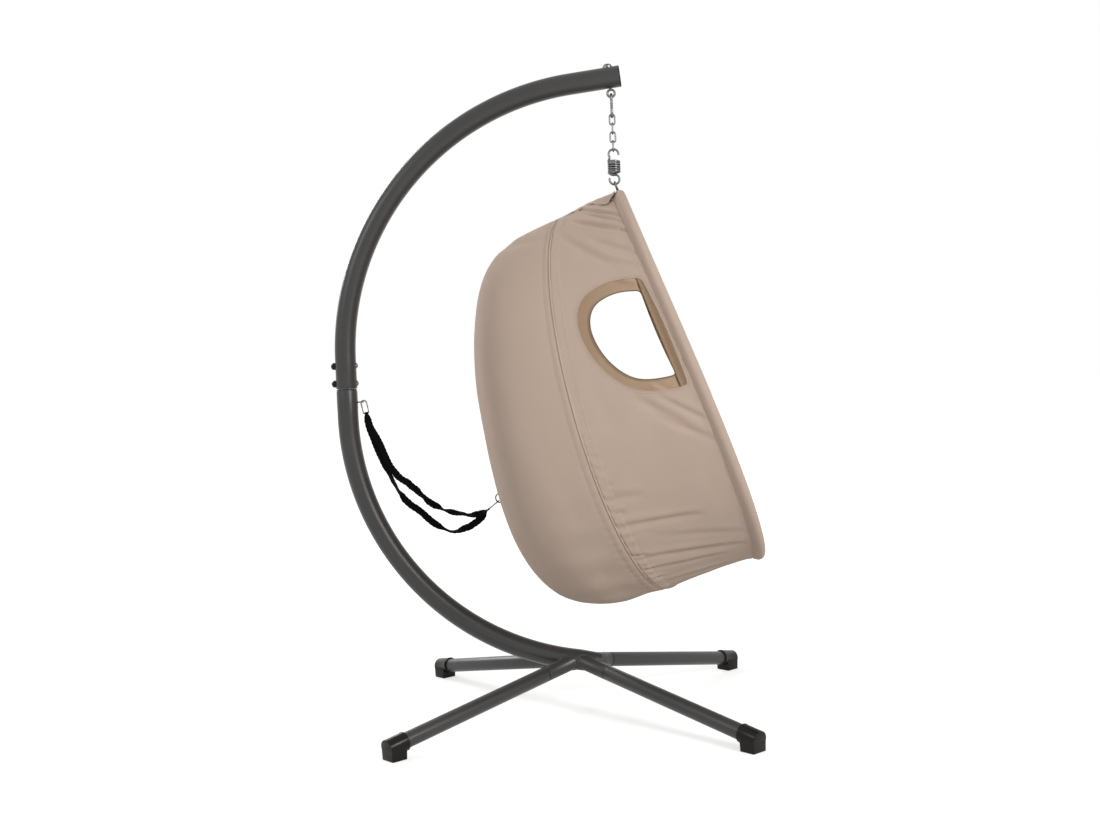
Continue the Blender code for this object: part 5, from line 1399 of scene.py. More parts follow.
POD = Matrix.Translation(POD_CROWN) @ Matrix.Rotation(-POD_TILT, 4, "Y")
ROD_MEAN = (ROD_DEPTH_TOP + ROD_DEPTH_BOTTOM) / 2
ROD_SLANT = (ROD_DEPTH_TOP - ROD_DEPTH_BOTTOM) / 2


def egg(t):
    """Half width and height on the hoop's outline; t runs from 0 at the top to pi at the bottom."""
    half_width = HOOP_HALF_WIDTH * math.sin(t) ** HOOP_FULLNESS * (1 - HOOP_EGG * math.cos(t))
    return half_width, -HOOP_HEIGHT / 2 * (1 - math.cos(t))


def rod_depth(t):
    return ROD_MEAN + ROD_SLANT * math.cos(t) + ROD_DEPTH_BOW * math.sin(t)


def hoop_bow(t):
    return HOOP_BOW * math.sin(t) * (HOOP_BOW_START - math.cos(t))


class Outline:
    """The left half of a hoop, top to bottom: its point and outward normal at a share of its length."""

    def __init__(self, depth_of, inset, steps=900):
        dense = []
        for step in range(steps + 1):
            t = math.pi * step / steps
            width, height = egg(t)
            width = max(width - inset * math.sin(t), 0)
            dense.append(Vector((-depth_of(t), width, height - inset * math.cos(t))))
        self.steps = steps
        self.points = along(dense, steps)
        self.length = lengths_along(self.points)[-1]

    def point(self, share):
        spot = clamped(share) * self.steps
        index = min(int(spot), self.steps - 1)
        return self.points[index].lerp(self.points[index + 1], spot - index)

    def normal(self, share):
        step = 4 / self.steps
        run = self.point(share + step) - self.point(share - step)
        if share < step / 4 or share > 1 - step / 4:
            return Vector((0, 0, 1 if share < 0.5 else -1))
        return Vector((0, -run.z, run.y)).normalized()


FRONT = Outline(lambda t: -hoop_bow(t), 0)
ROD = Outline(rod_depth, ROD_INSET)


def ridge(value, width):
    return math.exp(-((value / width) ** 2))


def on_side(point, side):
    """A point of the left side (1), or its mirror image on the right (-1)."""
    return Vector((point.x, side * point.y, point.z))


def crease(spot, start, end, width, depth):
    """A crease along a line on a panel, from (down, across) in metres; it fades out at both ends."""
    line = Vector(end) - Vector(start)
    share = (Vector(spot) - Vector(start)).dot(line) / line.length_squared
    if share < -CREASE_RUN_OUT or share > 1 + CREASE_RUN_OUT:
        return 0.0
    off = (Vector(spot) - Vector(start) - line * share).dot(Vector((-line.y, line.x)).normalized())
    fade = math.sin(math.pi * clamped((share + CREASE_RUN_OUT) / (1 + 2 * CREASE_RUN_OUT))) ** 0.7
    return depth * fade * (ridge(off, width) - 0.55 * ridge(off - 1.7 * width, 1.3 * width))


# Creases of a side panel: start and end (down, across from the rod, as shares), width and depth in metres
CREASES = (
    ((0.020, 0.70), (0.095, 0.99), 0.004, -0.0026),
    ((0.040, 0.35), (0.142, 0.99), 0.006, -0.0042),
    ((0.075, 0.45), (0.165, 0.99), 0.005, -0.0028),
    ((0.105, 0.30), (0.193, 0.99), 0.008, -0.0046),
    ((0.130, 0.12), (0.245, 0.72), 0.013, -0.0036),
    ((0.180, 0.55), (0.245, 0.99), 0.009, -0.0034),
    ((0.228, 0.58), (0.270, 0.95), 0.009, -0.0026),
    ((0.500, 0.70), (0.560, 0.97), 0.008, -0.0034),
    ((0.500, 0.52), (0.578, 0.86), 0.012, -0.0028),
    ((0.535, 0.62), (0.605, 0.98), 0.010, -0.0022),
    ((0.640, 0.00), (0.655, 0.30), 0.012, -0.0022),
    ((0.706, 0.00), (0.737, 0.64), 0.009, -0.0056),
    ((0.745, 0.30), (0.800, 0.98), 0.011, -0.0024),
    ((0.780, 0.06), (0.835, 0.90), 0.010, -0.0052),
    ((0.822, 0.10), (0.856, 0.70), 0.008, -0.0044),
    ((0.868, 0.05), (0.900, 0.80), 0.009, -0.0042),
    ((0.915, 0.10), (0.938, 0.85), 0.009, -0.0036),
    ((0.955, 0.10), (0.968, 0.80), 0.008, -0.0030),
    ((0.612, 0.00), (0.616, 0.11), 0.004, -0.0040),
    ((0.676, 0.00), (0.682, 0.12), 0.005, -0.0046),
    ((0.765, 0.00), (0.772, 0.12), 0.004, -0.0040),
    ((0.805, 0.00), (0.812, 0.14), 0.005, -0.0046),
    ((0.846, 0.00), (0.856, 0.13), 0.004, -0.0042),
)


def panel_lift(share, across, side):
    """How far a side panel's cloth stands out: creases, slack, a hem and puckers at the seams."""
    pod = chosen("pod")
    width = (FRONT.point(share) - ROD.point(share)).length
    down, over = share * FRONT.length, across * width
    total = 0.0
    for index, (start, end, reach, depth) in enumerate(CREASES):
        shift = CREASE_SHIFT * math.sin(2.3 * index + 1.7 * side)
        first, second = [((spot[0] + shift) * FRONT.length, spot[1] * width) for spot in (start, end)]
        depth *= 1 + 0.2 * math.sin(index + side)
        total += pod.crease * crease((down, over), first, second, reach, depth)
    coarse, middle, fine = PANEL_SLACK
    place = Vector((down * 3.1, over * 5.2, 7.3 * side))
    total += coarse * noise.noise(place) + middle * noise.noise(place * 3.3)
    total += fine * noise.noise(Vector((down * 31, over * 11 + down * 9, 3.1 * side)))
    lower = clamped((share - 0.42) / 0.25)
    shown = max(lower, 0.25, 1 - 4 * max(0, share - 0.16))
    total += HEM_STEP * shown * clamped((pod.hem - over) / HEM_EDGE)
    height, off, reach = SLEEVE_RIDGE
    total += height * ridge(width - over - off, reach)
    wander = 4 * noise.noise(Vector((down * 14, side, 4 * across)))
    wave = math.sin(down * 2 * math.pi / PANEL_PUCKER_PITCH + wander)
    total += pod.pucker * (0.25 + 1.5 * lower) * wave * ridge(over - 0.6 * pod.hem, PUCKER_REACH)
    total += 0.4 * pod.pucker * wave * math.exp(-(width - over) / SLEEVE_PUCKER_REACH)
    return total * min(1, min(over, width - over) / PANEL_FLAT_EDGE)


def sleeve_section(radius):
    """Points (back, out) of the cloth round the front hoop: over the front, under it and back to the seam."""
    turns = [math.radians(128 - 256 * step / 30) for step in range(31)]
    section = [SLEEVE_SEAM, (1.02, 0.52)]
    section += [(-math.cos(turn), math.sin(turn)) for turn in turns]
    section += [(1.02, -0.52), (1.40, -0.29), (1.80, -0.14), (2.20, -0.07)]
    return [(back * radius, out * radius) for back, out in section]


def panel_row(row):
    """Share of the hoop's length at a row; rows lie closer at the top and the bottom."""
    share = row / chosen("pod").panel_rows
    return share - ROW_CROWDING * math.sin(2 * math.pi * share)


def panel_across(column):
    """Share of the way from the casing to the sleeve's seam; columns lie closer at both."""
    share = column / PANEL_COLUMNS
    return share - COLUMN_CROWDING * math.sin(2 * math.pi * share)


def lap_radius():
    """Distance from the rod's middle to a side panel where it laps over the casing."""
    return CASING_RADIUS + chosen("pod").cloth + GAP


def panel_point(share, across):
    """Point of the smooth panel between the casing and the sleeve's seam, and the ways back and out."""
    radius = chosen("pod").sleeve
    front, rod = FRONT.point(share), ROD.point(share)
    back = (rod - front).normalized()
    outward = FRONT.normal(share)
    outward = (outward - back * outward.dot(back)).normalized()
    crest = ridge(share, CREST_REACH)
    start = rod + (outward * math.sin(LAP_END) - back * math.cos(LAP_END)) * lap_radius()
    behind, out = SLEEVE_SEAM
    end = front + back * behind * radius + outward * (out + CREST_RISE * crest) * radius
    hang = (CREST_HANG * crest - PANEL_SAG * (1 - crest)) * math.sin(math.pi * across)
    return start.lerp(end, across) + outward * hang, back, outward


def side_panel_place(row, column, side):
    """Point of a side panel in the pod's frame: over the casing, across, then round the sleeve."""
    share = panel_row(row)
    past = column - PANEL_LAP
    if past < 0:
        _, back, outward = panel_point(share, 0)
        angle = LAP_START + (LAP_END - LAP_START) * column / PANEL_LAP
        reach = lap_radius() + LAP_LIFT * (1 - column / PANEL_LAP)
        point = ROD.point(share) + (outward * math.sin(angle) - back * math.cos(angle)) * reach
    elif past <= PANEL_COLUMNS:
        point, _, _ = panel_point(share, panel_across(past))
    else:
        _, back, outward = panel_point(share, 1)
        behind, out = sleeve_section(chosen("pod").sleeve)[past - PANEL_COLUMNS]
        point = FRONT.point(share) + back * behind + outward * out
    return Vector((point.x, side * max(point.y, 0.0004), point.z))


def side_panel_chart(row, column):
    """Spot on the flat cut: down the panel, and across it from the rod."""
    share = panel_row(row)
    past = column - PANEL_LAP
    width = (FRONT.point(share) - ROD.point(share)).length
    over = panel_across(clamped(past, 0, PANEL_COLUMNS)) * width
    return share * FRONT.length, over + LAP_STEP * min(past, 0) + SLEEVE_STEP * max(0, past - PANEL_COLUMNS)


def side_panel_lift(row, column, side):
    past = column - PANEL_LAP
    if past <= 0 or past >= PANEL_COLUMNS:
        return 0.0
    return panel_lift(panel_row(row), panel_across(past), side)


def window_line(side, count=160):
    """A window's outline in the pod's X and Z: nearly straight along the front, round behind."""
    corner = Vector((WINDOW_CORNER[0], 0, WINDOW_CORNER[1]))
    scale, bow_forward = WINDOW_SIDES[side]
    knots = [corner + (Vector((x, 0, z)) - corner) * scale for x, z in WINDOW]
    before, after = [Vector((x, 0, z)) for x, z in WINDOW_LEADS]
    bow = smooth_through([knots[0] + before] + knots + [knots[-1] + after], 6 * count)
    first, last = [min(range(len(bow)), key=lambda index: (bow[index] - knot).length)
                   for knot in (knots[0], knots[-1])]
    line = bow[first : last + 1]
    for step in range(1, WINDOW_FRONT_STEPS + 1):
        share = step / WINDOW_FRONT_STEPS
        forward = Vector((bow_forward * math.sin(math.pi * share), 0, 0))
        line.append(knots[-1].lerp(knots[0], share) + forward)
    return eased(along(line, count)[:-1], 6)


def prism(name, outline, depth):
    """A closed prism through the pod along Y."""
    work = bmesh.new()
    near = [work.verts.new((point.x, -depth, point.z)) for point in outline]
    far = [work.verts.new((point.x, depth, point.z)) for point in outline]
    work.faces.new(near)
    work.faces.new(far[::-1])
    for index in range(len(outline)):
        after = (index + 1) % len(outline)
        work.faces.new((near[index], far[index], far[after], near[after]))
    return mesh_of(name, work)


def paint_inside(mesh):
    """Gives the faces that look into the pod the inner finish, the same cloth painted lighter and warmer: painted
    light for what passes through the cloth and bounces inside.
    """
    mesh.materials.clear()
    mesh.materials.append(FINISH["outside"])
    mesh.materials.append(FINISH["inside"])
    for face in mesh.polygons:
        face.material_index = 0 if face.normal.dot(face.center - POD_MIDDLE) > 0 else 1


def one_side(mesh):
    """Area in square metres of one side of a thin closed sheet."""
    return round(sum(face.area for face in mesh.polygons) / 2, 3)


def make_side_panels():
    pod = chosen("pod")
    columns = PANEL_LAP + PANEL_COLUMNS + len(sleeve_section(1)) - 1
    seams = []
    for name, side in (("left", 1), ("right", -1)):
        hole = window_line(side)
        label = name + "_panel"
        sheet = cloth_grid(label, pod.panel_rows, columns, lambda r, c: side_panel_place(r, c, side),
                           side_panel_chart, lambda r, c: side_panel_lift(r, c, side))
        surface = tree_of(sheet)
        slot = tube_mesh("eye_slot", [Vector((0, 0, -0.004)), Vector((0, 0, 0.05))], EYE_SLOT, 24)
        holes = [("DIFFERENCE", prism("window", hole, 0.6)), ("DIFFERENCE", slot)]
        solid = joined(label, thickened(label, sheet, pod.cloth), holes)
        paint_inside(solid)
        area = one_side(solid)
        edge = window_edge(surface, hole, side)
        solid.transform(POD)
        panel = piece(label, solid, "outside", "pod", name + "_side_panel")
        band = binding_mesh(name + "_window_binding", edge)
        band.transform(POD)
        trim = piece(name + "_window_binding", band, "outside", "pod")
        seams += panel_seams(surface, edge, side)
        hoop = ["front_hoop_" + name, "front_hoop_crown", "mid_rod"]
        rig.sheet(panel, flat=PANEL_FLAT, area=area, held="stretched", rests_on=hoop, with_pieces=[trim])
    lines = [([POD @ point for point in line], closed) for line, closed in seams]
    threads = stitched("panel_stitches", lines, FINISH["thread"])
    piece("panel_stitches", threads, "thread", "pod", slot="pod_cloth")


def window_edge(surface, hole, side):
    """Points round a window on the panel, with the panel's outward normal and the way into the opening."""
    edge = []
    for spot in hole:
        start = Vector((spot.x, side * 0.6, spot.z))
        place, normal, _, _ = surface.ray_cast(start, Vector((0, -side, 0)))
        if normal.y * side < 0:
            normal = -normal
        edge.append([place, normal, None])
    count = len(edge)
    middle = sum((item[0] for item in edge), Vector()) / count
    for index, item in enumerate(edge):
        run = edge[(index + 1) % count][0] - edge[index - 1][0]
        inward = run.cross(item[1]).normalized()
        item[2] = inward if inward.dot(middle - item[0]) > 0 else -inward
    return edge


def binding_mesh(name, edge):
    """Folded tape round a window's edge, with a fold painted darker as shade; under the tape is the lighter inside
    finish, painted light.
    """
    width = chosen("pod").binding
    half = 0.0016
    turns = [math.radians(angle) for angle in range(-90, 91, 30)]
    section = [(0.0018 * math.cos(a), half * math.sin(a)) for a in turns]
    section += [(-0.0010, 0.9 * half), (-0.0014, 0.3 * half), (0.0004 - width, -0.4 * half)]
    section += [(0.001 - width, -half), (-0.35 * width, -half * 1.05)]
    work = bmesh.new()
    rings = []
    for index, (place, normal, inward) in enumerate(edge):
        swell = 1 + 0.10 * math.sin(index * 0.9) + 0.08 * math.sin(index * 2.3)
        rings.append([work.verts.new(place + inward * b + normal * n * swell) for b, n in section])
    for index, ring in enumerate(rings):
        after = rings[(index + 1) % len(rings)]
        for step in range(len(section)):
            other = (step + 1) % len(section)
            face = work.faces.new((ring[step], ring[other], after[other], after[step]))
            # Faces at the fold take the darker binding finish, painted shade; faces under the tape take the lighter
            # inside finish, painted light.
            if section[step][0] + section[other][0] > -0.8 * width and section[step][1] < 0.4 * half:
                face.material_index = 1
            elif section[step][1] + section[other][1] < 0:
                face.material_index = 2
    mesh = mesh_of(name, work, 60)
    for finish in ("outside", "binding", "inside"):
        mesh.materials.append(FINISH[finish])
    return mesh


def laid(surface, point, lift=0.0010):
    """A point moved onto the nearest cloth, lifted a little out of the pod."""
    place, normal, _, _ = surface.find_nearest(point)
    if normal.dot(place - POD_MIDDLE) < 0:
        normal = -normal
    return place + normal * lift


def panel_seams(surface, edge, side):
    """Stitch lines of one side panel: behind the sleeve, along the casing and round the window."""
    width, hem = chosen("pod").binding, chosen("pod").hem
    seams = []
    for from_rod, start, end in ((False, 0.03, 0.985), (True, 0.03, 0.99)):
        line = []
        for step in range(SEAM_STEPS + 1):
            share = start + (end - start) * step / SEAM_STEPS
            span = (FRONT.point(share) - ROD.point(share)).length
            point, _, _ = panel_point(share, (hem - 0.003) / span if from_rod else 0.985)
            line.append(laid(surface, on_side(point, side)))
        seams.append((line, False))
    seams.append(([place - inward * 0.7 * width + normal * 0.0012 for place, normal, inward in edge], True))
    return seams


def dome_point(rim, share):
    """Point on the bulged back between its middle (share 0) and a point of its rim (share 1)."""
    upward = clamped(1 + 2 * rim.z / HOOP_HEIGHT, -1)
    squareness = BACK_SQUARENESS - BACK_SQUARENESS_LOWER * upward
    turn = share * math.pi / 2
    reach = math.sin(turn) ** (2 / squareness)
    bulge = math.cos(turn) ** (2 / squareness) if share < 1 else 0
    flat = Vector((0, 0, -HOOP_HEIGHT / 2)).lerp(Vector((0, rim.y, rim.z)), reach)
    depth = ROD_MEAN + ROD_SLANT * upward * reach
    depth += (-rim.x - ROD_MEAN - ROD_SLANT * upward) * reach**BACK_SIDE_FADE
    depth += BACK_DEPTH * (1 - BACK_LOWER_SWELL * upward * reach) * bulge
    return Vector((-depth, flat.y, flat.z))


def back_row(row):
    """Share of the rod's half length at a row, and the row's side; rows run right round the rod."""
    turn = row / chosen("pod").back_rows
    share = 2 * turn if turn <= 0.5 else 2 * (1 - turn)
    return share - ROW_CROWDING * math.sin(2 * math.pi * share), 1 if turn <= 0.5 else -1


def rim_spread(off):
    """Share of the way from the back's middle to its rim at which the cloth is about off short of the rim."""
    return 1 - (off / BACK_DEPTH) ** (BACK_SQUARENESS / 2) * 2 / math.pi


def back_spread(column):
    """Share of the way from the middle out; columns lie closer near the rim."""
    if column <= DOME_RINGS:
        return rim_spread(RIM_RINGS * RIM_STEP) * column / DOME_RINGS
    return rim_spread((DOME_RINGS + RIM_RINGS - column) * RIM_STEP)


def back_panel_place(row, column):
    """Point of the back panel's middle surface: columns run from the middle out, then round the rod."""
    share, side = back_row(row)
    rim = ROD.point(share)
    outward = ROD.normal(share)
    past = column - DOME_RINGS - RIM_RINGS
    if past <= 0:
        point = dome_point(rim + outward * CASING_RADIUS, back_spread(column))
    else:
        angle = math.pi / 2 - CASING_TURN * past / CASING_RINGS
        point = rim + (Vector((math.cos(angle), 0, 0)) + outward * math.sin(angle)) * CASING_RADIUS
    return on_side(point, side)


def back_panel_chart(row, column):
    """Spot on the flat cut: as far from the middle, and the same way, as the point on the back."""
    share, side = back_row(row)
    rim = ROD.point(share)
    way = Vector((side * rim.y, rim.z + HOOP_HEIGHT / 2)).normalized()
    inner, outer = min(column, DOME_RINGS), max(0, column - DOME_RINGS)
    return way * (DOME_SPAN * inner / DOME_RINGS + outer * RIM_STEP)


def casing_width(share):
    """How far the roll along the rod reaches onto the back: narrow at the top, wider low down."""
    return 0.012 + 0.009 * share


def back_panel_lift(row, column):
    """Rolled casing along the rod, puckers, a soft shoulder crease, and slack over the whole back."""
    if column > DOME_RINGS + RIM_RINGS:
        return 0.0
    pod = chosen("pod")
    share, side = back_row(row)
    rim = ROD.point(share) + ROD.normal(share) * CASING_RADIUS
    here = dome_point(rim, back_spread(column))
    off = (here - rim).length
    width = casing_width(share)
    lower = clamped((share - 0.45) / 0.35)
    roll = ROLL_HEIGHT * math.sin(math.pi * min(off / width, 1))
    depth, place, reach = ROLL_GROOVE
    roll -= depth * ridge(off - width - place, reach)
    depth, place, reach = LOWER_HOLLOW
    roll -= depth * lower * ridge(off - place, reach)
    down = share * ROD.length
    wander = 4 * noise.noise(Vector((down * 11, side, 2.2)))
    wave = math.sin(down * 2 * math.pi / BACK_PUCKER_PITCH + wander)
    roll += pod.pucker * (0.15 + 1.6 * share**2) * wave * ridge(off - width, PUCKER_REACH)
    coarse, middle, fine = BACK_SLACK
    spot = Vector((here.x * 3, here.y * 3 * side, here.z * 2.2))
    slack = coarse * noise.noise(spot + Vector((3.7, 0, 0))) + middle * noise.noise(spot * 3)
    slack += fine * noise.noise(Vector((here.x * 26, here.y * 26 * side, here.z * 4)))
    height, place, reach = SHOULDER
    slack += height * ridge(off - place, reach) * clamped(1 + 2 * rim.z / HOOP_HEIGHT) ** 4
    depth, place, reach = ROOF_CREASE
    fall = (ROD.point(0) - here).dot(Vector((math.sin(POD_TILT), 0, math.cos(POD_TILT))))
    roof = ridge(fall - place - 0.006 * math.sin(here.y * 19), reach) * ridge(share - 0.075, 0.040)
    folds = -depth * roof
    depth, place, reach = LOW_FOLDS
    low = clamped(-1.25 - 2 * rim.z / HOOP_HEIGHT)
    folds -= depth * low * math.sin(down * 2 * math.pi / LOW_FOLD_PITCH) * ridge(off - place, reach)
    return (roll + slack + folds * pod.crease) * min(1, off / BACK_FLAT_EDGE)


def make_back_panel():
    pod = chosen("pod")
    columns = DOME_RINGS + RIM_RINGS + CASING_RINGS
    sheet = cloth_grid("back_cloth", pod.back_rows, columns, back_panel_place, back_panel_chart,
                       back_panel_lift)
    surface = tree_of(sheet)
    solid = thickened("back_cloth", sheet, pod.cloth)
    paint_inside(solid)
    area = one_side(solid)
    solid.transform(POD)
    panel = piece("back_cloth", solid, "outside", "pod", "back_panel")
    lines = []
    for side in (1, -1):
        line = []
        for step in range(SEAM_STEPS + 1):
            share = 0.012 + 0.976 * step / SEAM_STEPS
            rim = ROD.point(share) + ROD.normal(share) * CASING_RADIUS
            point = walk_in(rim, casing_width(share) + 0.002)
            line.append(POD @ laid(surface, on_side(point, side)))
        lines.append((line, False))
    threads = stitched("casing_stitches", lines, FINISH["thread"])
    piece("casing_stitches", threads, "thread", "pod", slot="pod_cloth")
    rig.sheet(panel, flat=BACK_FLAT, area=area, held="stretched", rests_on=["mid_rod"])


def walk_in(rim, distance):
    """Point on the back at a distance in from its rim."""
    return dome_point(rim, halved(lambda share: (dome_point(rim, share) - rim).length > distance, 0.3, 24))


def ridge_edge(across, side):
    """How far down each side the strip over the pod's top reaches, as a share of the hoop's half length."""
    wavy = 0.0022 * math.sin(9 * across + side) + 0.0012 * math.sin(23 * across)
    return RIDGE_REACH * (1 + ridge(across - 0.86, 0.18)) + wavy


def make_ridge_strip():
    """Strip of cloth sewn over the seam along the pod's top; its front end stands open a little."""
    pod = chosen("pod")
    rows, columns = RIDGE_MESH
    begin, span = RIDGE_SPAN

    def place(row, column):
        turn = 2 * row / rows - 1
        side = 1 if turn >= 0 else -1
        across = begin + span * column / columns
        share = abs(turn) * ridge_edge(across, side)
        point, back, outward = panel_point(share, min(across, 1))
        if across > 1:
            behind, out = RIDGE_FRONT
            front = FRONT.point(share) + (back * behind + outward * out) * pod.sleeve
            point = point.lerp(front, (across - 1) / (begin + span - 1))
        gape = RIDGE_GAPE * ridge(across - 0.95, 0.08) * abs(turn) ** 6 * (1.0 if side < 0 else 0.4)
        creased = RIDGE_CREASE * math.sin(31 * across + 5 * turn) * ridge(across - 0.6, 0.4)
        point += outward * (RIDGE_LIFT + gape + creased * abs(turn))
        return on_side(point, side)

    sheet = cloth_grid("ridge_strip", rows, columns, place, lambda r, c: (0.2 * r / rows, 0.2 * c / columns))
    solid = thickened("ridge_strip", sheet, pod.cloth)
    area = one_side(solid)
    solid.transform(POD)
    strip = piece("ridge_strip", solid, "outside", "pod")
    mean_length, length = RIDGE_FLAT
    flat = (round(area / mean_length, 3), length)
    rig.sheet(strip, flat=flat, area=area, held="stretched", rests_on=["left_panel", "right_panel"])


def make_crown():
    """The front hoop's crown: a short connector along the hoop, with the hanging eye on its stem."""
    ring = [Vector((0, math.cos(t), math.sin(t))) * POD_EYE_RADIUS for t in circle(40)]
    ring = [POD @ (point + Vector((0, 0, POD_EYE_RISE))) for point in ring]
    eye = tube_mesh("crown_eye", ring, POD_EYE_WIRE / 2, 16, closed=True)
    ends = [POD @ Vector((0, 0, rise)) for rise in (-0.006, POD_EYE_RISE - POD_EYE_RADIUS)]
    stem = tube_mesh("crown_stem", ends, POD_EYE_STEM / 2, 24)
    line = []
    for step in range(-12, 13):
        point = FRONT.point(abs(step) / 12 * CROWN_HALF_LENGTH / FRONT.length)
        line.append(POD @ Vector((point.x, math.copysign(point.y, step), point.z)))
    collar = tube_mesh("crown_collar", line, CROWN_RADIUS, 24, lip=0.001)
    mesh = joined("crown", collar, [("UNION", stem), ("UNION", eye)])
    piece("crown", mesh, "zinc", "pod", "front_hoop_crown")


# Cushions

def pad_frame(node, turn):
    """Place of a cushion's middle, with its thickness along Z."""
    place = POD @ Matrix.Rotation(turn, 4, "Y")
    back = place.to_3x3().inverted()
    points = [back @ vert.co for vert in FRAME["nodes"][node].data.vertices]
    low = Vector([min(point[axis] for point in points) for axis in range(3)])
    high = Vector([max(point[axis] for point in points) for axis in range(3)])
    return Matrix.Translation(place.to_3x3() @ ((low + high) / 2)) @ place.to_3x3().to_4x4()


def stuffed(name, node):
    """The cushion's solid as a slack cover, filled by Blender's cloth simulation; the push is capped."""
    settings = chosen("cushion")
    work = bmesh.new()
    work.from_mesh(FRAME["nodes"][node].data)
    bmesh.ops.remove_doubles(work, verts=work.verts, dist=0.0001)
    work.normal_update()
    for vert in work.verts:
        vert.co -= vert.normal * settings.swell * 0.8
    mesh = mesh_of(name, work)
    mesh.materials.clear()
    holder = linked(name, mesh)
    cells = holder.modifiers.new("cells", "REMESH")
    cells.mode = "VOXEL"
    cells.voxel_size = settings.voxel
    even = holder.modifiers.new("even", "SMOOTH")
    even.factor = 0.5
    even.iterations = 6
    start = evaluated(holder)
    holder.modifiers.clear()
    holder.data = start
    rest = [vert.co.copy() for vert in start.vertices]
    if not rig.quick():
        fill(holder, settings)
    limit = settings.swell
    for vert, home in zip(holder.data.vertices, rest):
        move = vert.co - home
        if move.length > limit:
            vert.co = home + move * (limit / move.length)
    pinch(holder.data, node)
    holder.data.shade_smooth()
    return holder


def fill(holder, settings):
    """Runs the simulation on a cover and keeps its last frame."""
    scene = bpy.context.scene
    cloth = holder.modifiers.new("fill", "CLOTH")
    cloth.settings.quality = 6
    cloth.settings.mass = 0.3
    cloth.settings.tension_stiffness = 15
    cloth.settings.compression_stiffness = 15
    cloth.settings.bending_stiffness = 0.6
    cloth.settings.use_pressure = True
    cloth.settings.uniform_pressure_force = settings.pressure
    cloth.settings.effector_weights.gravity = 0
    cloth.point_cache.frame_start = 1
    cloth.point_cache.frame_end = FILL_FRAMES
    for frame in range(1, FILL_FRAMES + 1):
        scene.frame_set(frame)
    filled = evaluated(holder)
    holder.modifiers.clear()
    scene.frame_set(1)
    places = [vert.co.copy() for vert in filled.vertices]
    bpy.data.meshes.remove(filled)
    for vert, place in zip(holder.data.vertices, places):
        vert.co = place


PADS = {
    "seat_cushion": (SEAT_PAD, 0.0),
    "back_cushion": (BACK_PAD, math.pi / 2 - BACK_PAD_LEAN),
}


def pad_outline(pad, count=PAD_SEAM_STEPS):
    """The seam round a pad, in its own frame."""
    def squared(value):
        return math.copysign(abs(value) ** PAD_SQUARENESS, value)

    points = []
    for step in range(count * 4):
        heading = 2 * math.pi * step / (count * 4)
        draw_in = 1 - PAD_DRAW_IN * (1 - math.sin(2 * heading) ** 2)
        x = squared(math.cos(heading)) * draw_in * pad[0] / 2
        y = squared(math.sin(heading)) * draw_in * pad[1] / 2
        points.append(Vector((x, y, 0)))
    return along(points + points[:1], count)[:-1]


def pinch(mesh, node):
    """Draws the cover in towards the seam, and lays fine puckers along it."""
    pad, turn = PADS[node]
    frame = pad_frame(node, turn)
    home = frame.inverted()
    for vert in mesh.vertices:
        spot = home @ vert.co
        near = ridge(spot.z, 0.012)
        heading = math.atan2(spot.y / pad[1], spot.x / pad[0])
        out = Vector((spot.x / pad[0], spot.y / pad[1], 0)).length * 2
        if out < PAD_EDGE:
            continue
        wave = math.sin(70 * heading + 2 * math.sin(9 * heading))
        pucker = PAD_PUCKER * wave * ridge(abs(spot.z) - 0.011, 0.010) * min(1, (out - PAD_EDGE) / 0.2)
        flat = Vector((spot.x, spot.y, 0)).normalized()
        vert.co = frame @ (spot - flat * (PAD_PINCH * near + pucker))


def make_cushions():
    settings = chosen("cushion")
    for node, (pad, turn) in PADS.items():
        name = node.replace("cushion", "pad")
        holder = stuffed(name, node)
        holder.data.materials.append(FINISH["cushion"])
        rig.ride(holder, "pod")
        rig.slot(holder, "pad_cloth")
        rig.replaces(holder, node)
        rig.padded(holder, fill=PAD_FILLS[node])
        frame = pad_frame(node, turn)
        surface = tree_of(holder.data)
        seam = [surface.find_nearest(frame @ point)[0] for point in pad_outline(pad)]
        cord = tube_mesh(name + "_piping", eased(seam, 3), settings.piping, 12, closed=True)
        piece(name + "_piping", cord, "cushion", "pod")


# Tether

BOW_BAR = BOW_HOOK_TOP - BOW_HOOK_UP * HOOK_LENGTH
POD_BAR = POD_HOOK_TOP - POD_HOOK_UP * HOOK_LENGTH


def hook_place(top, upward, across):
    """A hook's frame: Z up the hook and X square to its loop."""
    side = upward.cross(across)
    return Matrix.Translation(top) @ Matrix((across, side, upward)).transposed().to_4x4()


def wrap(centre, side, up, start, end, radius):
    """Points of a ply that passes round a hook's bar, between two angles from the top of the bar."""
    angles = [start + (end - start) * step / 8 for step in range(9)]
    return [centre + (side * math.sin(a) + up * math.cos(a)) * radius for a in angles]


def strap_turn(turns, share):
    """Turn of a ply at a share of its length: 0 shows its width from the side, a quarter turn its edge."""
    for (first, begin), (second, end) in zip(turns, turns[1:]):
        if share <= second:
            step = (share - first) / (second - first)
            return begin + (end - begin) * step * step * (3 - 2 * step)
    return turns[-1][1]


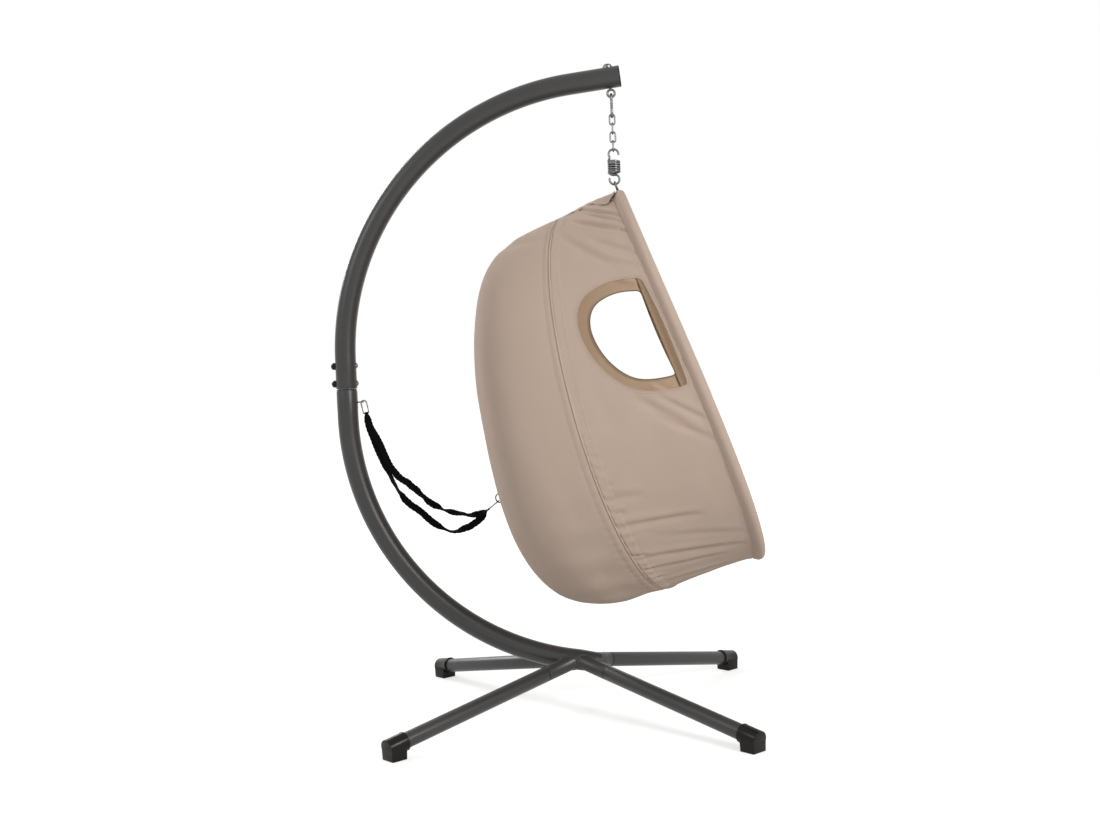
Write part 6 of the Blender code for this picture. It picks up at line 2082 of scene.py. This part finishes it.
def strap_ply(upper, tether, steps=150):
    """Middle points and width vectors of one ply, from the bow hook's bar to the pod hook's."""
    shift = Vector((HUB.x, 0, 0))
    route = [shift + Vector((x, 0, z)) for x, z in (STRAP_UPPER if upper else STRAP_LOWER)]
    points = smooth_through([BOW_BAR] + route + [POD_BAR], steps)
    total = lengths_along(points)[-1]
    radius = tether.wire / 2 + GAP + tether.strap_thickness / 2
    aside = Vector((0, -1 if upper else 1, 0))
    meeting = GAP / radius
    across_bow = Vector((-BOW_HOOK_UP.z, 0, BOW_HOOK_UP.x))
    ply = [(point, across_bow * STRAP_END_WIDTH)
           for point in wrap(BOW_BAR, aside, BOW_HOOK_UP, meeting, math.pi / 2, radius)]
    for index in range(1, steps):
        share = index / steps
        run = (points[index + 1] - points[index - 1]).normalized()
        lift = Vector((run.z, 0, -run.x))
        parting = clamped((share - 0.24) / 0.26)
        ends = min(1, min(share, 1 - share) * 7)
        wave = noise.noise(Vector((share * 17, 3.1 if upper else 8.4, 0)))
        bob = noise.noise(Vector((share * 26, 6.6 if upper else 2.8, 0)))
        draw = abs(noise.noise(Vector((share * 31, 1.7 if upper else 5.2, 0))))
        twist = strap_turn(UPPER_TURNS if upper else LOWER_TURNS, share)
        twist += tether.crinkle * ends * parting * 0.35 * wave
        opening = min(1, min(share, 1 - share) * total / STRAP_END_TAPER)
        width = STRAP_END_WIDTH + (tether.strap_width - STRAP_END_WIDTH) * opening
        width *= 1 - 0.10 * tether.crinkle * ends * draw
        fan = ridge(share - 0.19, 0.10) * (1 if upper else -1)
        point = points[index] + aside * STRAP_PLY_GAP * (1 - parting) - lift * STRAP_FAN * fan
        point += lift * STRAP_BOB * tether.crinkle * bob * ends * parting
        ply.append((point, (lift * math.cos(twist) - Vector((0, 1, 0)) * math.sin(twist)) * width))
    side = Vector((-POD_HOOK_UP.z, 0, POD_HOOK_UP.x)) * (1 if upper else -1)
    begin = math.radians(70 if upper else 150)
    ply += [(point, Vector((0, -STRAP_END_WIDTH, 0)))
            for point in wrap(POD_BAR, side, POD_HOOK_UP, begin, meeting, radius)]
    return ply


def make_straps():
    """Each ply of the webbing in four lengths, one across each joint of the gear; the first is longest."""
    tether = chosen("tether")
    hooks = make_tether_hooks()
    for name, upper in (("upper", True), ("lower", False)):
        ply = strap_ply(upper, tether)
        lengths = lengths_along([point for point, _ in ply])
        cuts = [min(range(len(ply)), key=lambda index: abs(lengths[index] - lengths[-1] * share))
                for share in STRAP_CUTS]
        made = []
        for part in range(len(STRAP_CUTS) - 1):
            first, last = cuts[part], cuts[part + 1]
            rows = last - first

            def place(row, column):
                point, width = ply[first + row]
                share = column / STRAP_COLUMNS
                edge = STRAP_EDGE_WAVE * tether.crinkle * math.sin(1.9 * (first + row)) * (2 * share - 1)
                return point + width * (share - 0.5) + width.normalized() * edge

            def chart(row, column):
                return lengths[first + row], tether.strap_width * column / STRAP_COLUMNS

            label = f"strap_{name}_{part + 1}"
            sheet = cloth_grid(label, rows, STRAP_COLUMNS, place, chart)
            made.append(piece(label, thickened(label, sheet, tether.strap_thickness), "webbing", None))
            held = max(1, round(STRAP_HELD[part] * rows))
            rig.blend(made[part], STRAP_BODIES[part], STRAP_BODIES[part + 1], start=ply[first + held][0],
                     end=ply[last - 1][0])
        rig.replaces(made[0], f"tether_strap_{name}")
        path = [point for point, _ in ply[: cuts[1] + 1]]
        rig.cord(made[0], exit=path[0], length=lengths[cuts[1]], diameter=tether.strap_width, far_end="object",
                stiffness="limp", lay="hanging", path=path, with_pieces=made[1:] + (hooks if upper else []))


def make_tether_hooks():
    """The hooks at both ends of the webbing, which are returned, and the screw eye on the bow."""
    tether = chosen("tether")
    sizes = (tether.wire, HOOK_LENGTH, HOOK_BEND, HOOK_CORNER, HOOK_NOSE, HOOK_PIVOT, HOOK_GATE_WIRE)
    place = hook_place(BOW_HOOK_TOP, BOW_HOOK_UP, Vector((0, 1, 0)))
    hooks = make_snap(("bow_hook", "bow_hook_gate"), ("bow_tether_hook", "bow_tether_hook_gate"),
                      ("stand", "bow_hook_gate"), place, sizes)
    across = Vector((POD_HOOK_UP.z, 0, -POD_HOOK_UP.x))
    place = hook_place(POD_HOOK_TOP, POD_HOOK_UP, across)
    hooks += make_snap(("pod_hook", "pod_hook_gate"), ("pod_tether_hook", "pod_tether_hook_gate"),
                       ("pod", "pod_hook_gate"), place, sizes)
    low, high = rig.box("bow_tether_eye")
    centre = Vector((high.x - TETHER_EYE_RADIUS - tether.wire / 2, 0, (low.z + high.z) / 2))
    ring = [centre + Vector((math.cos(t), math.sin(t), 0)) * TETHER_EYE_RADIUS for t in circle(36)]
    ring = tube_mesh("bow_eye", ring, tether.wire / 2, 14, closed=True)
    ends = [centre - Vector((TETHER_EYE_RADIUS, 0, 0)), Vector((low.x, 0, centre.z))]
    shank = tube_mesh("tether_shank", ends, tether.wire / 2, 16)
    piece("bow_eye", joined("bow_eye", ring, [("UNION", shank)]), "zinc", "stand", "bow_tether_eye")
    return hooks


def tab_place():
    """Place on the back panel under the tab: X into the panel, Z up it."""
    rim = ROD.point(1) - Vector((0, 0, CASING_RADIUS))
    share = halved(lambda share: dome_point(rim, share).z > TAB_HEIGHT, 0.0, 40)
    down = (dome_point(rim, share + 0.02) - dome_point(rim, share - 0.02)).normalized()
    turn = math.atan2(-down.x, -down.z)
    return POD @ Matrix.Translation(dome_point(rim, share)) @ Matrix.Rotation(turn, 4, "Y")


def make_tab():
    """The D-ring on the pod's back, in a webbing tab that is sewn across the panel."""
    tether = chosen("tether")
    thick = tether.strap_thickness
    place = tab_place()
    stand_off = TAB_STAND_OFF + GAP
    bar = stand_off + thick + GAP + RING_WIRE / 2
    line = arc((-bar, 0), RING_RADIUS, math.pi / 2, 1.5 * math.pi, 24)
    line += [Vector((-bar, 0, -RING_RADIUS + 2 * RING_RADIUS * step / 16)) for step in range(1, 16)]
    ring = tube_mesh("d_ring", [place @ point for point in line], RING_WIRE / 2, 14, closed=True)
    piece("d_ring", ring, "zinc", "pod", "tether_ring")
    hump = RING_WIRE / 2 + GAP + thick / 2
    flat = stand_off + thick / 2
    profile = []
    for step in range(TAB_ROWS + 1):
        y = -TAB_HALF_LENGTH + 2 * TAB_HALF_LENGTH * step / TAB_ROWS
        rise = math.sqrt(max(hump * hump - y * y, 0))
        profile.append((y, max(flat, bar + rise if abs(y) < hump else flat)))

    def shape(row, column):
        y, out = profile[row]
        return place @ Vector((-out, y, (column / STRAP_COLUMNS - 0.5) * TAB_WIDTH))

    def chart(row, column):
        return 0.04 * row / TAB_ROWS, TAB_WIDTH * column / STRAP_COLUMNS

    sheet = cloth_grid("tether_patch", TAB_ROWS, STRAP_COLUMNS, shape, chart)
    piece("tether_patch", thickened("tether_patch", sheet, thick), "webbing", "pod", "tether_tab")
    lines = []
    for y in TAB_SEAMS:
        spots = [(-stand_off - thick - 0.0002, y, z) for z in (-TAB_SEAM_HALF, 0, TAB_SEAM_HALF)]
        lines.append(([place @ Vector(spot) for spot in spots], False))
    threads = stitched("tab_stitches", lines, FINISH["thread"])
    piece("tab_stitches", threads, "thread", "pod", slot="webbing")


# Stage

def seen_directly(net):
    """1 for rays from the camera, and for those that a gloss or a clear piece passes on."""
    rays = net.node("ShaderNodeLightPath")
    passed = net.maths("MAXIMUM", rays.outputs["Is Glossy Ray"], rays.outputs["Is Transmission Ray"])
    return net.maths("MAXIMUM", rays.outputs["Is Camera Ray"], passed)


def floor_finish(stage):
    """Pale floor that keeps the shadow; what is seen of it directly is white, more so further off."""
    finish, net, shader, places = new_finish("studio_floor")
    near, far, white = FLOOR_WHITE
    reach = net.node("ShaderNodeVectorMath", operation="LENGTH")
    net.put(reach.inputs[0], places.outputs["Object"])
    spread = {"Value": reach.outputs["Value"], "From Min": near, "From Max": far, "To Min": stage.glow,
              "To Max": white}
    glow = net.fed("ShaderNodeMapRange", spread, interpolation_type="SMOOTHSTEP").outputs["Result"]
    shown = net.maths("MULTIPLY", seen_directly(net), glow)
    looks = {"Base Color": (*stage.floor, 1), "Roughness": 0.9, "Specular IOR Level": 0.1,
             "Emission Color": (1, 1, 1, 1), "Emission Strength": shown}
    net.feed(shader, looks)
    return finish


def make_stage():
    stage = chosen("stage")
    scene = bpy.context.scene
    scene.view_settings.view_transform = "Standard"
    work = bmesh.new()
    bmesh.ops.create_grid(work, x_segments=2, y_segments=2, size=FLOOR_HALF_SIZE)
    floor = linked("studio_floor", mesh_of("studio_floor", work))
    floor.data.materials.append(floor_finish(stage))
    floor.location = (0, 0, -FLOOR_DROP)
    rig.stage(floor)
    world = bpy.data.worlds.new("studio")
    scene.world = world
    world.use_nodes = True
    net = Nodes(world.node_tree)
    light = world.node_tree.nodes["Background"]
    light.inputs["Color"].default_value = (1.0, 0.995, 0.985, 1)
    light.inputs["Strength"].default_value = stage.sky
    white = net.fed("ShaderNodeBackground", {"Color": (1, 1, 1, 1)})
    mix = net.fed("ShaderNodeMixShader", {0: seen_directly(net), 1: light.outputs[0], 2: white.outputs[0]})
    net.put(world.node_tree.nodes["World Output"].inputs["Surface"], mix.outputs[0])
    for name, (power, width, place) in LAMPS.items():
        add_lamp(name, getattr(stage, power), width, place)
    add_camera(stage)


def add_lamp(name, power, width, place):
    lamp = bpy.data.lights.new(name, "AREA")
    lamp.energy = power
    lamp.size = width
    made = linked(name, lamp)
    made.location = place
    made.rotation_mode = "QUATERNION"
    made.rotation_quaternion = (Vector(LAMP_TARGET) - Vector(place)).to_track_quat("-Z", "Y")


def add_camera(stage):
    """Camera at the photograph's viewpoint."""
    level = math.cos(CAMERA_PITCH)
    forward = Vector((-math.sin(CAMERA_YAW) * level, math.cos(CAMERA_YAW) * level, -math.sin(CAMERA_PITCH)))
    right = forward.cross(Vector((0, 0, 1))).normalized()
    up = right.cross(forward)
    tilted_right = right * math.cos(CAMERA_ROLL) - up * math.sin(CAMERA_ROLL)
    tilted_up = right * math.sin(CAMERA_ROLL) + up * math.cos(CAMERA_ROLL)
    lens = bpy.data.cameras.new("viewpoint")
    lens.lens = stage.lens
    lens.sensor_width = SENSOR_WIDTH
    camera = linked("viewpoint", lens)
    turn = Matrix((tilted_right, tilted_up, -forward)).transposed().to_4x4()
    x, y, z = CAMERA_PLACE
    camera.matrix_world = Matrix.Translation((HUB.x + x, y, z)) @ turn
    bpy.context.scene.camera = camera


def dress_hidden():
    """Finishes for the solids that stay as they are, inside the sleeves."""
    for node in ("front_hoop_left", "front_hoop_right", "front_hoop_joiner", "mid_rod"):
        mesh = FRAME["nodes"][node].data
        mesh.materials.clear()
        mesh.materials.append(FINISH["rod" if node == "mid_rod" else "coat"])


# Operators and panel

class BuildFinishes(bpy.types.Operator):
    """Makes the materials."""

    bl_idname = "hanging_chair.finishes"
    bl_label = "Finishes"

    def execute(self, context):
        FINISH.update(make_finishes())
        return {"FINISHED"}


class BuildStage(bpy.types.Operator):
    """Makes the floor, the light and the camera."""

    bl_idname = "hanging_chair.stage"
    bl_label = "Stage"

    def execute(self, context):
        make_stage()
        return {"FINISHED"}


class BuildTether(bpy.types.Operator):
    """Makes the strap, its hooks, and the ring and tab on the pod."""

    bl_idname = "hanging_chair.tether"
    bl_label = "Tether"

    def execute(self, context):
        make_straps()
        make_tab()
        return {"FINISHED"}


class BuildStand(bpy.types.Operator):
    """Makes the bow, the legs and their fasteners."""

    bl_idname = "hanging_chair.stand"
    bl_label = "Stand"

    def execute(self, context):
        make_bow()
        make_legs()
        make_fasteners()
        return {"FINISHED"}


class BuildGear(bpy.types.Operator):
    """Makes the eye bolt, the snap hook, the chain and the spring."""

    bl_idname = "hanging_chair.gear"
    bl_label = "Hanging gear"

    def execute(self, context):
        make_eye_bolt()
        make_hanging_gear()
        return {"FINISHED"}


class BuildPod(bpy.types.Operator):
    """Makes the sewn panels, their seams and the crown's eye."""

    bl_idname = "hanging_chair.pod"
    bl_label = "Pod"

    def execute(self, context):
        make_side_panels()
        make_back_panel()
        make_ridge_strip()
        make_crown()
        dress_hidden()
        return {"FINISHED"}


class BuildCushions(bpy.types.Operator):
    """Fills the two cushions and sews their piping."""

    bl_idname = "hanging_chair.cushions"
    bl_label = "Cushions"

    def execute(self, context):
        make_cushions()
        return {"FINISHED"}


OPERATORS = (BuildFinishes, BuildStage, BuildTether, BuildStand, BuildGear, BuildPod, BuildCushions)


class ChairPanel(bpy.types.Panel):
    """Sizes, colours and build steps in the sidebar."""

    bl_idname = "VIEW3D_PT_hanging_chair"
    bl_label = "Hanging chair"
    bl_space_type = "VIEW_3D"
    bl_region_type = "UI"
    bl_category = "Hanging chair"

    def draw(self, context):
        for group, settings in SETTINGS.items():
            box = self.layout.box()
            box.label(text=group.capitalize())
            for name in settings.__annotations__:
                box.prop(getattr(context.scene, "hanging_chair_" + group), name)
        for operator in OPERATORS:
            self.layout.operator(operator.bl_idname)


CLASSES = (*SETTINGS.values(), *OPERATORS, ChairPanel)


def register():
    for cls in CLASSES:
        bpy.utils.register_class(cls)
    for group, settings in SETTINGS.items():
        setattr(bpy.types.Scene, "hanging_chair_" + group, PointerProperty(type=settings))


def unregister():
    for group in SETTINGS:
        delattr(bpy.types.Scene, "hanging_chair_" + group)
    for cls in reversed(CLASSES):
        bpy.utils.unregister_class(cls)


def main():
    register()
    for old in ("Cube", "Light", "Camera"):
        if old in bpy.data.objects:
            bpy.data.objects.remove(bpy.data.objects[old])
    for operator in OPERATORS:
        group, name = operator.bl_idname.split(".")
        getattr(getattr(bpy.ops, group), name)()
    low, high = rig.bounds()
    sizes = {"cad_box": [list(corner) for corner in CAD_BOX], "visual_box": [list(low), list(high)]}
    with open("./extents.json", "w") as file:
        json.dump(sizes, file, indent=1)


if __name__ == "__main__":
    main()
